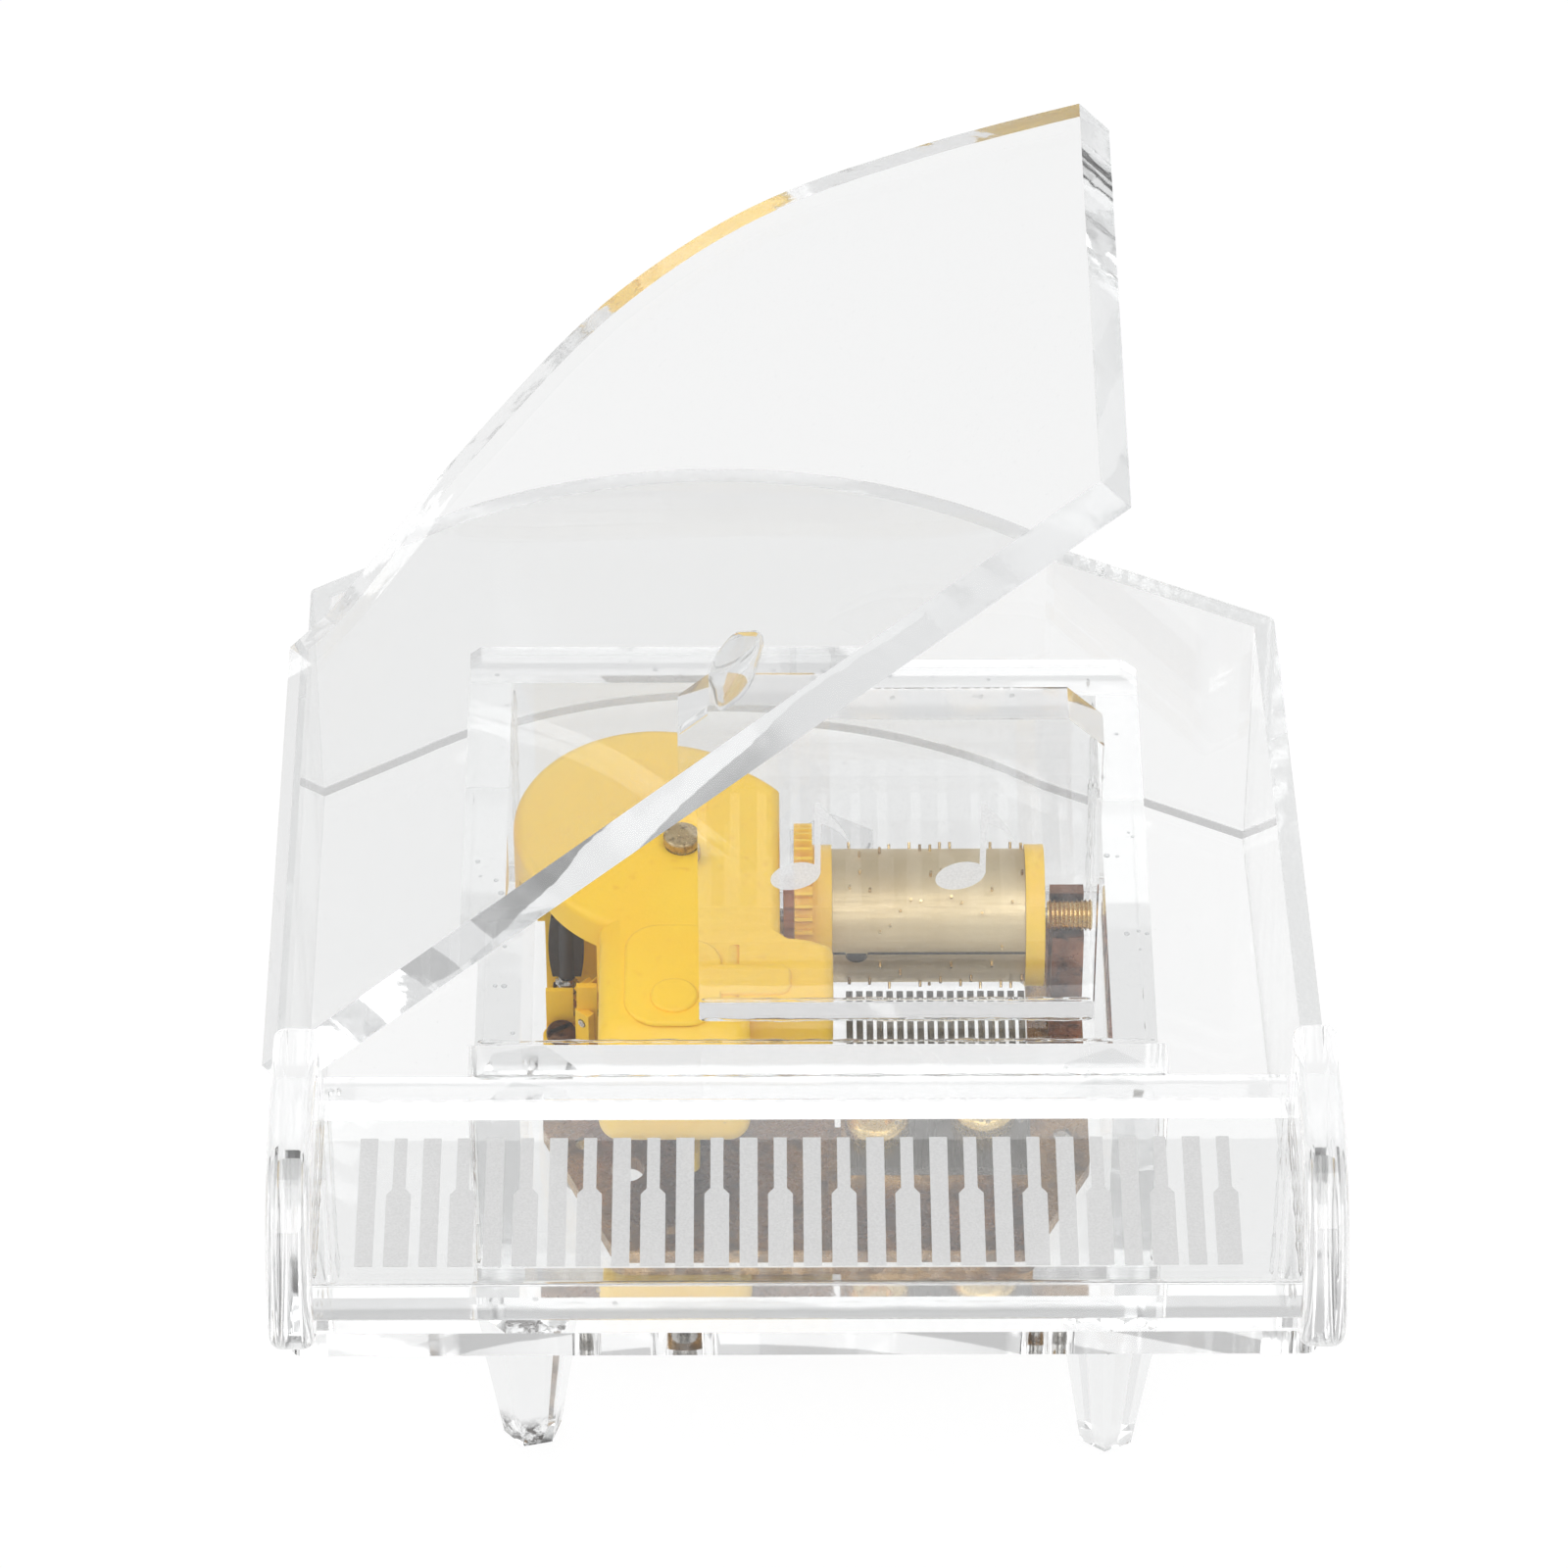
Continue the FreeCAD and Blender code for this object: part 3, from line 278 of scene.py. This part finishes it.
# ------------------------------------------------------------------ opaque materials
def plastic(name, a, b, dark, rough=(0.33, 0.47), scale=55.0, sub=0.12, corner_shade=0.0):
    """Moulded plastic: slow colour drift from flow, a fine spark-eroded texture, and painted shade in the corners:
    ambient occlusion darkens corners and recesses towards the dark colour.
    """
    t = Tree(name)
    flow = t.noise(scale, 3.0, 0.5, None, 0.8)
    col = t.mix(t.grey(flow, 0.0, 1.0, 0.35, 0.65), a, b)
    fine = t.noise(2400.0, 2.0, 0.6)
    dots = t.noise(900.0, 2.0, 0.5)
    col = t.mix(t.mathn("MULTIPLY", t.grey(dots, 0.0, 1.0, 0.66, 0.74), 0.25), col, dark)
    # painted shade: ambient occlusion darkens corners, creases and recesses towards the dark colour, where shade falls
    if corner_shade:
        ao = t.n("ShaderNodeAmbientOcclusion", samples=6)
        ao.inputs["Distance"].default_value = 0.0018
        col = t.mix(t.mathn("MULTIPLY", t.grey(ao.outputs["AO"], 1.0, 0.0, 0.25, 0.75), corner_shade), col, dark)
    nrm = t.bump(t.mathn("ADD", fine, t.mathn("MULTIPLY", flow, 0.8)), 0.22, 0.00012)
    r = t.grey(t.noise(300.0, 3.0, 0.6), rough[0], rough[1], 0.3, 0.7)
    p = t.bsdf(col, r, nrm, IOR=1.5, Subsurface_Weight=sub, Subsurface_Scale=0.0012)
    p.inputs["Subsurface Radius"].default_value = (1.0, 0.6, 0.2)
    return t.done(p.outputs[0])


def metal(name, a, b, spot, rough=(0.18, 0.34), stretch=(1, 1, 1), patch=140.0, scratch=1500.0, spots=(0.60, 0.72), spot_mix=0.8, bump=0.18, aniso=0.0):
    """Metal with slow tone patches, fine brushing along one direction, and darker tarnish spots."""
    t = Tree(name)
    tone = t.noise(patch, 4.0, 0.6, None, 0.4)
    col = t.mix(t.grey(tone, 0.0, 1.0, 0.33, 0.67), a, b)
    sp = t.grey(t.noise(patch * 3.1, 5.0, 0.65, None, 0.3), 0.0, 1.0, *spots)
    col = t.mix(t.mathn("MULTIPLY", sp, spot_mix), col, spot)
    lines = t.noise(scratch, 2.0, 0.6, t.mapping(scale=stretch))
    r = t.mathn("ADD", t.grey(lines, rough[0], rough[1], 0.3, 0.7), t.mathn("MULTIPLY", sp, 0.18))
    nrm = t.bump(lines, bump, 0.00004)
    p = t.bsdf(col, r, nrm, Metallic=1.0, Anisotropic=aniso)
    return t.done(p.outputs[0])


# the grime / corner_shade amount sets how strongly painted shade darkens corners and recesses of each plastic
yellow = plastic("yellow_plastic", srgb(255, 210, 44), srgb(255, 203, 36), srgb(226, 148, 22), corner_shade=0.35)
yellow_gear = plastic("yellow_gear_plastic", srgb(255, 209, 48), srgb(252, 198, 36), srgb(216, 134, 18), rough=(0.28, 0.42), corner_shade=0.45)
orange = plastic("orange_plastic", srgb(255, 172, 74), srgb(250, 152, 56), srgb(190, 92, 22), rough=(0.3, 0.45), corner_shade=0.4)
brass_sleeve = metal("brass_sleeve", srgb(218, 200, 162), srgb(200, 178, 136), srgb(120, 92, 44), rough=(0.38, 0.54), stretch=(0.04, 1, 1), patch=90.0, scratch=2600.0, spots=(0.66, 0.8), spot_mix=0.5, bump=0.25)
brass_part = metal("brass_turned", srgb(228, 204, 146), srgb(206, 172, 104), srgb(96, 66, 30), rough=(0.2, 0.34), patch=260.0, scratch=3200.0, spots=(0.58, 0.72), spot_mix=0.65)
brass_pin = metal("brass_pins", srgb(236, 214, 164), srgb(150, 122, 76), srgb(90, 66, 32), rough=(0.10, 0.22), patch=500.0, scratch=5000.0)
bed_metal = metal("bedplate_plating", srgb(178, 142, 88), srgb(106, 72, 40), srgb(44, 25, 13), rough=(0.18, 0.38), patch=120.0, scratch=1900.0, spots=(0.50, 0.68), spot_mix=0.85, bump=0.3)
comb_metal = metal("comb_steel", srgb(118, 115, 110), srgb(90, 86, 81), srgb(60, 50, 42), rough=(0.22, 0.38), stretch=(1, 0.06, 1), patch=170.0, scratch=2600.0, spots=(0.6, 0.74), spot_mix=0.6)
bronze = metal("bronzed_steel", srgb(170, 122, 96), srgb(112, 80, 60), srgb(34, 22, 16), rough=(0.26, 0.46), patch=240.0, scratch=2200.0, spots=(0.5, 0.66), spot_mix=0.8)
screw_dark = metal("screw_bronzed", srgb(112, 82, 60), srgb(76, 52, 38), srgb(30, 20, 14), rough=(0.26, 0.42), patch=500.0, scratch=3600.0, spots=(0.5, 0.66))
spring_blue = metal("spring_steel", srgb(118, 118, 122), srgb(82, 84, 92), srgb(48, 40, 36), rough=(0.2, 0.36), stretch=(1, 1, 0.05), patch=320.0, scratch=2600.0)
steel = metal("bright_steel", srgb(200, 198, 194), srgb(168, 165, 160), srgb(92, 80, 66), rough=(0.16, 0.32), patch=300.0, scratch=3000.0, spots=(0.62, 0.76), spot_mix=0.5)
rivet_metal = metal("arbor_rivet_brass", srgb(206, 188, 150), srgb(170, 146, 104), srgb(96, 76, 48), rough=(0.24, 0.40), patch=420.0, scratch=3000.0, spots=(0.52, 0.66))
rubber = plastic("fly_black", srgb(44, 38, 34), srgb(34, 29, 26), srgb(84, 72, 60), rough=(0.42, 0.6), scale=180.0, sub=0.0)

opaque = {
    "spring_housing": yellow, "governor_base": yellow, "stop_lever": yellow,
    "great_wheel": yellow_gear, "cylinder_gear": yellow_gear, "cylinder_end_cap": yellow_gear, "governor_wheel": yellow_gear,
    "cylinder_hub": orange,
    "cylinder_sleeve": brass_sleeve, "cylinder_pins": brass_pin, "pivot_bush": brass_part, "comb_screws": brass_part,
    "bedplate": bed_metal, "comb": comb_metal, "cylinder_bracket": bronze, "bracket_rivets": screw_dark,
    "housing_screws": screw_dark, "mounting_screws": steel, "mainspring": spring_blue,
    "spring_arbor": steel, "arbor_rivet": rivet_metal, "winding_key": steel, "cylinder_arbor": steel,
    "governor_axle": steel, "governor_worm": steel, "governor_fly": rubber,
    "key_marks": frost("etched_key_marks", (0.66, 0.66, 0.66), 0.82),
    "music_rest_ornament": frost("etched_ornament", (0.80, 0.80, 0.80), 0.66),
}


def give(o, mat):
    if not o.material_slots:
        o.data.materials.append(mat)
    for s in o.material_slots:
        s.material = mat


for name, mat in {**glass, **opaque}.items():
    give(NODES[name], mat)
left = sorted(set(NODES) - set(glass) - set(opaque))
if left:
    raise RuntimeError("no material for " + ", ".join(left))


# ------------------------------------------------------------------ pieces added to the frame
def mesh_piece(name, bm, mat, body, smooth=True):
    me = bpy.data.meshes.new(name)
    bmesh.ops.recalc_face_normals(bm, faces=bm.faces)
    bm.to_mesh(me)
    bm.free()
    me.polygons.foreach_set("use_smooth", [smooth] * len(me.polygons))
    me.materials.append(mat)
    o = bpy.data.objects.new(name, me)
    bpy.context.scene.collection.objects.link(o)
    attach(o, body)
    return o


def bead(bm, a, b, r, n_side=8, step=0.45, seed=0, lift=Vector((0, 0, 0)), gap=0.0, squash=None):
    """A wavy run of squeezed-out cement from a to b (working frame, mm), with a radius that comes and goes."""
    a, b = Vector(a), Vector(b)
    d = b - a
    n = max(4, int(d.length / step))
    u = d.normalized()
    s = u.orthogonal().normalized()
    w = u.cross(s)
    rings = []
    for i in range(n + 1):
        t = i / n
        q = a + d * t
        k = noise.noise(Vector((i * 0.31 + seed * 7.1, seed * 1.7, 0.3)))
        k2 = noise.noise(Vector((i * 0.09 + seed * 3.3, 5.1, seed * 2.0)))
        rr = r * max(0.18, 0.72 + 0.55 * k + 0.5 * k2)
        if i in (0, n):
            rr *= 0.25
        off = s * (r * 0.35 * noise.noise(Vector((i * 0.2, seed, 9.0)))) + w * (r * 0.35 * noise.noise(Vector((i * 0.2, seed, 19.0))))
        ring = []
        for j in range(n_side):
            an = 2 * math.pi * j / n_side
            v = s * math.cos(an) * rr + w * math.sin(an) * rr
            if squash is not None:
                v = Vector((v.x * squash[0], v.y * squash[1], v.z * squash[2]))
            ring.append(bm.verts.new(P(*(q + off + v + lift))))
        rings.append(ring)
    for r0, r1 in zip(rings, rings[1:]):
        for j in range(n_side):
            bm.faces.new((r0[j], r0[(j + 1) % n_side], r1[(j + 1) % n_side], r1[j]))
    bm.faces.new(rings[0][::-1])
    bm.faces.new(rings[-1])


def bubble(bm, c, r, flat=(1, 1, 1)):
    m = Matrix.Translation(P(*c)) @ Matrix.Diagonal((r * flat[0] / 1000, r * flat[1] / 1000, r * flat[2] / 1000, 1))
    bmesh.ops.create_icosphere(bm, subdivisions=2, radius=1.0, matrix=m)


cement_mat = acrylic("acrylic_cement_runs", AZ, tint=(0.93, 0.935, 0.935), ripple=1.4)
bubble_mat = acrylic("acrylic_bubbles", AZ, tint=(0.80, 0.81, 0.82), ripple=0.4)

# squeezed-out cement along the glued corners (working frame, mm)
Z_RIM = 30.9
runs = bmesh.new()
k = 0
for a, b, r in [
    ((-29.8, 5.36, Z_RIM + 0.05), (32.4, 5.36, Z_RIM + 0.05), 0.16),      # fallboard to the box's front wall
    ((-29.6, 9.75, Z_RIM + 0.12), (31.6, 9.75, Z_RIM + 0.12), 0.20),      # box cover to front wall
    ((-9.4, 12.42, Z_RIM + 0.18), (26.0, 12.42, Z_RIM + 0.18), 0.20),     # foot of the music rest
    ((-9.4, 16.98, Z_RIM + 0.18), (26.0, 16.98, Z_RIM + 0.18), 0.20),
    ((-43.2, -19.8, Z_RIM + 0.12), (-43.2, 2.0, Z_RIM + 0.12), 0.20),     # key bed to the cheeks
    ((43.2, -19.8, Z_RIM + 0.12), (43.2, 2.0, Z_RIM + 0.12), 0.20),
    ((-30.1, 9.9, 3.25), (-30.1, 57.0, 3.25), 0.20),                      # box walls to the bottom plate
    ((32.1, 9.9, 3.25), (32.1, 57.0, 3.25), 0.20),
    ((-29.6, 62.0, 3.25), (31.6, 62.0, 3.25), 0.20),
    ((-30.0, 9.62, 5.0), (-30.0, 9.62, 28.4), 0.20),                      # upright corners of the box
    ((32.0, 9.62, 5.0), (32.0, 9.62, 28.4), 0.20),
    ((-25.7, 57.6, 5.0), (-25.7, 57.6, 28.2), 0.22),
    ((27.7, 57.6, 5.0), (27.7, 57.6, 28.2), 0.22),
    ((-43.0, 5.55, 4.0), (-43.0, 5.55, 30.0), 0.22),                      # fallboard to the rim
    ((43.0, 5.55, 4.0), (43.0, 5.55, 30.0), 0.22),
]:
    k += 1
    bead(runs, a, b, r, seed=k)
mesh_piece("cement_runs", runs, cement_mat, "case")

bubbles = bmesh.new()
rnd = random.Random(5)


def sprinkle(n, x, y, z, r, flat):
    for _ in range(n):
        bubble(bubbles, (rnd.uniform(*x), rnd.uniform(*y), rnd.uniform(*z)), rnd.uniform(*r), flat)


sprinkle(26, (-30.0, 32.0), (5.415, 5.415), (24.0, 30.6), (0.10, 0.28), (1, 0.06, 1))      # in the fallboard joint
sprinkle(10, (-30.2, -27.0), (9.415, 9.415), (8.0, 28.0), (0.10, 0.26), (1, 0.06, 1))      # front wall to left wall
sprinkle(10, (28.2, 31.6), (9.415, 9.415), (8.0, 28.0), (0.10, 0.26), (1, 0.06, 1))
sprinkle(12, (-29.0, 31.0), (58.5, 61.3), (28.915, 28.915), (0.12, 0.30), (1, 1, 0.06))    # cover to back wall
sprinkle(10, (-29.5, -26.2), (12.0, 56.0), (28.915, 28.915), (0.12, 0.30), (1, 1, 0.06))   # cover to side walls
sprinkle(10, (28.2, 31.6), (12.0, 56.0), (28.915, 28.915), (0.12, 0.30), (1, 1, 0.06))
mesh_piece("joint_bubbles", bubbles, bubble_mat, "case")

# the spread patch of cement where the music rest's corner is stuck under the lid
LID_X0 = -46.0


def lid_z(x):
    return Z_RIM + 0.12 + (x - LID_X0) * math.tan(A43)


patch = bmesh.new()
ring_n, px, py = 40, -4.6, 15.2
rows = []
u = Vector((math.cos(A43), 0, math.sin(A43)))
for q, (rad, drop) in enumerate([(1.0, 0.02), (1.06, 0.10), (1.0, 0.22), (0.86, 0.24), (0.55, 0.20), (0.0, 0.20)]):
    if rad == 0:
        rows.append([patch.verts.new(P(*(Vector((px, py, lid_z(px))) - Vector(LIDN) * drop)))])
        continue
    row = []
    for j in range(ring_n):
        an = 2 * math.pi * j / ring_n
        e = 1.0 + 0.06 * math.sin(3 * an + 0.7) + 0.04 * math.sin(5 * an)
        row.append(patch.verts.new(P(*(Vector((px, py, lid_z(px))) + u * (math.cos(an) * 3.0 * rad * e) + Vector((0, 1, 0)) * (math.sin(an) * 4.4 * rad * e) - Vector(LIDN) * drop))))
    rows.append(row)
for r0, r1 in zip(rows, rows[1:]):
    if len(r1) == 1:
        for j in range(ring_n):
            patch.faces.new((r0[j], r0[(j + 1) % ring_n], r1[0]))
    else:
        for j in range(ring_n):
            patch.faces.new((r0[j], r0[(j + 1) % ring_n], r1[(j + 1) % ring_n], r1[j]))
patch.faces.new(rows[0][::-1])

# rolled seam of the sleeve with its half-round notch (on the cylinder)
CYL_Y, CYL_Z, CYL_R = 42.2, 16.7, 6.3
seam = bmesh.new()
dark_line = metal("seam_shadow", srgb(58, 44, 26), srgb(38, 28, 18), srgb(20, 14, 10), rough=(0.5, 0.7), patch=600.0, scratch=4000.0)
SEAM_A = math.radians(171.0)


def on_cyl(x, a, r):
    return P(x, CYL_Y + r * math.cos(a), CYL_Z + r * math.sin(a))


def seam_path():
    """x along the sleeve, and how far the seam dips round it, in radians of the sleeve."""
    pts = [(2.76, 0.0), (3.95, 0.0)]
    for i in range(13):
        an = math.pi * i / 12
        pts.append((5.0 - 1.05 * math.cos(an), 0.95 * math.sin(an) / CYL_R))
    pts += [(6.06, 0.0), (20.86, 0.0)]
    out = []
    for (x0, a0), (x1, a1) in zip(pts, pts[1:]):
        n = max(1, int(abs(x1 - x0) / 0.8))
        for j in range(n):
            out.append((x0 + (x1 - x0) * j / n, a0 + (a1 - a0) * j / n))
    out.append(pts[-1])
    return out


sp = seam_path()
top, bot, tb, bb = [], [], [], []
for x, da in sp:
    a = SEAM_A + da
    w = 0.13 / CYL_R
    top.append(seam.verts.new(on_cyl(x, a - w, CYL_R + 0.012)))
    bot.append(seam.verts.new(on_cyl(x, a + w, CYL_R + 0.012)))
    tb.append(seam.verts.new(on_cyl(x, a - w, CYL_R - 0.05)))
    bb.append(seam.verts.new(on_cyl(x, a + w, CYL_R - 0.05)))
for i in range(len(sp) - 1):
    seam.faces.new((top[i], top[i + 1], bot[i + 1], bot[i]))
    seam.faces.new((tb[i], bb[i], bb[i + 1], tb[i + 1]))
    seam.faces.new((top[i], tb[i], tb[i + 1], top[i + 1]))
    seam.faces.new((bot[i], bot[i + 1], bb[i + 1], bb[i]))
seam.faces.new((top[0], bot[0], bb[0], tb[0]))
seam.faces.new((top[-1], tb[-1], bb[-1], bot[-1]))
# the notch itself: a half-round opening below the seam, drawn as a flat disc of painted shade in the dark seam_shadow
# colour
fan_o, fan_i = [], []
for i in range(17):
    an = math.pi * i / 16
    fan_o.append(seam.verts.new(on_cyl(5.0 - 0.95 * math.cos(an), SEAM_A + 0.85 * math.sin(an) / CYL_R, CYL_R + 0.010)))
    fan_i.append(seam.verts.new(on_cyl(5.0 - 0.95 * math.cos(an), SEAM_A + 0.85 * math.sin(an) / CYL_R, CYL_R - 0.05)))
seam.faces.new(fan_o)
seam.faces.new(fan_i[::-1])
for i in range(17):
    j = (i + 1) % 17
    seam.faces.new((fan_o[i], fan_i[i], fan_i[j], fan_o[j]))
mesh_piece("sleeve_seam", seam, dark_line, "cylinder", smooth=False)
mesh_piece("rest_cement_patch", patch, cement_mat, "case")

# ------------------------------------------------------------------ floor, light, camera
sc = bpy.context.scene
bm = bmesh.new()
R = 2.2
for x, y in ((-R, -R), (R, -R), (R, R), (-R, R)):
    bm.verts.new((x, y, 0.0))
bm.faces.new(bm.verts)
me = bpy.data.meshes.new("floor")
bm.to_mesh(me)
bm.free()
floor = bpy.data.objects.new("floor", me)
sc.collection.objects.link(floor)
floor.location.z = -0.0002
t = Tree("floor_paper")
n1 = t.noise(9.0, 2.0, 0.5)
dif = t.bsdf(t.mix(n1, (0.075, 0.075, 0.075), (0.085, 0.085, 0.085)), 0.9, None, Specular_IOR_Level=0.0)
em = t.n("ShaderNodeEmission")
em.inputs["Color"].default_value = (1, 1, 1, 1)
em.inputs["Strength"].default_value = 0.93
add = t.n("ShaderNodeAddShader")
t.link(dif.outputs[0], add.inputs[0])
t.link(em.outputs[0], add.inputs[1])
give(floor, t.done(add.outputs[0]))

world = bpy.data.worlds.new("studio")
sc.world = world
world.use_nodes = True
wt = world.node_tree
wt.nodes.clear()
wo = wt.nodes.new("ShaderNodeOutputWorld")
bg = wt.nodes.new("ShaderNodeBackground")
tc = wt.nodes.new("ShaderNodeTexCoord")
sepw = wt.nodes.new("ShaderNodeSeparateXYZ")
rw = wt.nodes.new("ShaderNodeValToRGB")
wt.links.new(tc.outputs["Generated"], sepw.inputs[0])
mr = wt.nodes.new("ShaderNodeMapRange")
mr.inputs["From Min"].default_value = -1.0
mr.inputs["From Max"].default_value = 1.0
wt.links.new(sepw.outputs["Z"], mr.inputs["Value"])
wt.links.new(mr.outputs["Result"], rw.inputs["Fac"])
els = rw.color_ramp.elements
stops = [(0.0, 0.95), (0.49, 0.95), (0.56, 0.88), (0.72, 0.80), (0.88, 0.78), (1.0, 0.80)]
while len(els) < len(stops):
    els.new(0.5)
for el, (p_, g) in zip(els, stops):
    el.position = p_
    el.color = (g, g, g, 1)


def flag(direction, inner, outer, depth):
    """A black card beside the set, as a soft dark spot in one direction: 1 where there is none, 1 - depth at its middle."""
    d = wt.nodes.new("ShaderNodeVectorMath")
    d.operation = "DOT_PRODUCT"
    d.inputs[1].default_value = Vector(direction).normalized()
    wt.links.new(tc.outputs["Generated"], d.inputs[0])
    m = wt.nodes.new("ShaderNodeMapRange")
    m.inputs["From Min"].default_value = outer
    m.inputs["From Max"].default_value = inner
    m.inputs["To Min"].default_value = 1.0
    m.inputs["To Max"].default_value = 1.0 - depth
    wt.links.new(d.outputs["Value"], m.inputs["Value"])
    return m.outputs["Result"]


light = rw.outputs["Color"]
for f in (flag((-0.84, 0.52, 0.16), 0.988, 0.970, 0.55), flag((-0.40, 0.90, 0.12), 0.992, 0.980, 0.55), flag((0, 0.74, 0.68), 0.96, 0.86, 0.20), flag((1, 0.2, 0.5), 0.95, 0.92, 0.85), flag((-1, -0.3, 0.45), 0.96, 0.93, 0.85)):
    vm = wt.nodes.new("ShaderNodeVectorMath")
    vm.operation = "SCALE"
    wt.links.new(light, vm.inputs[0])
    wt.links.new(f, vm.inputs["Scale"])
    light = vm.outputs["Vector"]
wt.links.new(light, bg.inputs["Color"])
bg.inputs["Strength"].default_value = 1.0
wt.links.new(bg.outputs[0], wo.inputs["Surface"])


def area(name, loc, target, size, size_y, power):
    d = bpy.data.lights.new(name, "AREA")
    d.shape = "RECTANGLE"
    d.size, d.size_y = size, size_y
    d.energy = power
    o = bpy.data.objects.new(name, d)
    sc.collection.objects.link(o)
    o.location = loc
    o.rotation_euler = (Vector(target) - Vector(loc)).to_track_quat("-Z", "Y").to_euler()
    return o


area("key_front_top", (0.10, -0.45, 0.85), (0, 0, 0.03), 0.9, 0.7, 4.3)
area("softbox_left", (-0.70, -0.20, 0.55), (0, 0, 0.04), 0.5, 0.5, 1.9)

cam_d = bpy.data.cameras.new("camera")
cam = bpy.data.objects.new("camera", cam_d)
sc.collection.objects.link(cam)
cam_d.sensor_width = 36.0
cam_d.sensor_fit = "HORIZONTAL"
cam_d.lens = 171.74
cam_d.clip_start = 0.01
fwd = Vector((0.0031, 0.7375, -0.6753)).normalized()
up = Vector((0.0028, 0.6753, 0.7375))
right = fwd.cross(up).normalized()
up = right.cross(fwd).normalized()
cam.matrix_world = Matrix((
    (right.x, up.x, -fwd.x, -0.00329),
    (right.y, up.y, -fwd.y, -0.50675),
    (right.z, up.z, -fwd.z, 0.52210),
    (0, 0, 0, 1),
))
sc.camera = cam

sc.view_settings.view_transform = "Standard"
sc.view_settings.look = "None"
sc.cycles.max_bounces = 48
sc.cycles.transmission_bounces = 40
sc.cycles.glossy_bounces = 40
sc.cycles.diffuse_bounces = 3
sc.cycles.transparent_max_bounces = 48
sc.cycles.caustics_reflective = False
sc.cycles.caustics_refractive = True
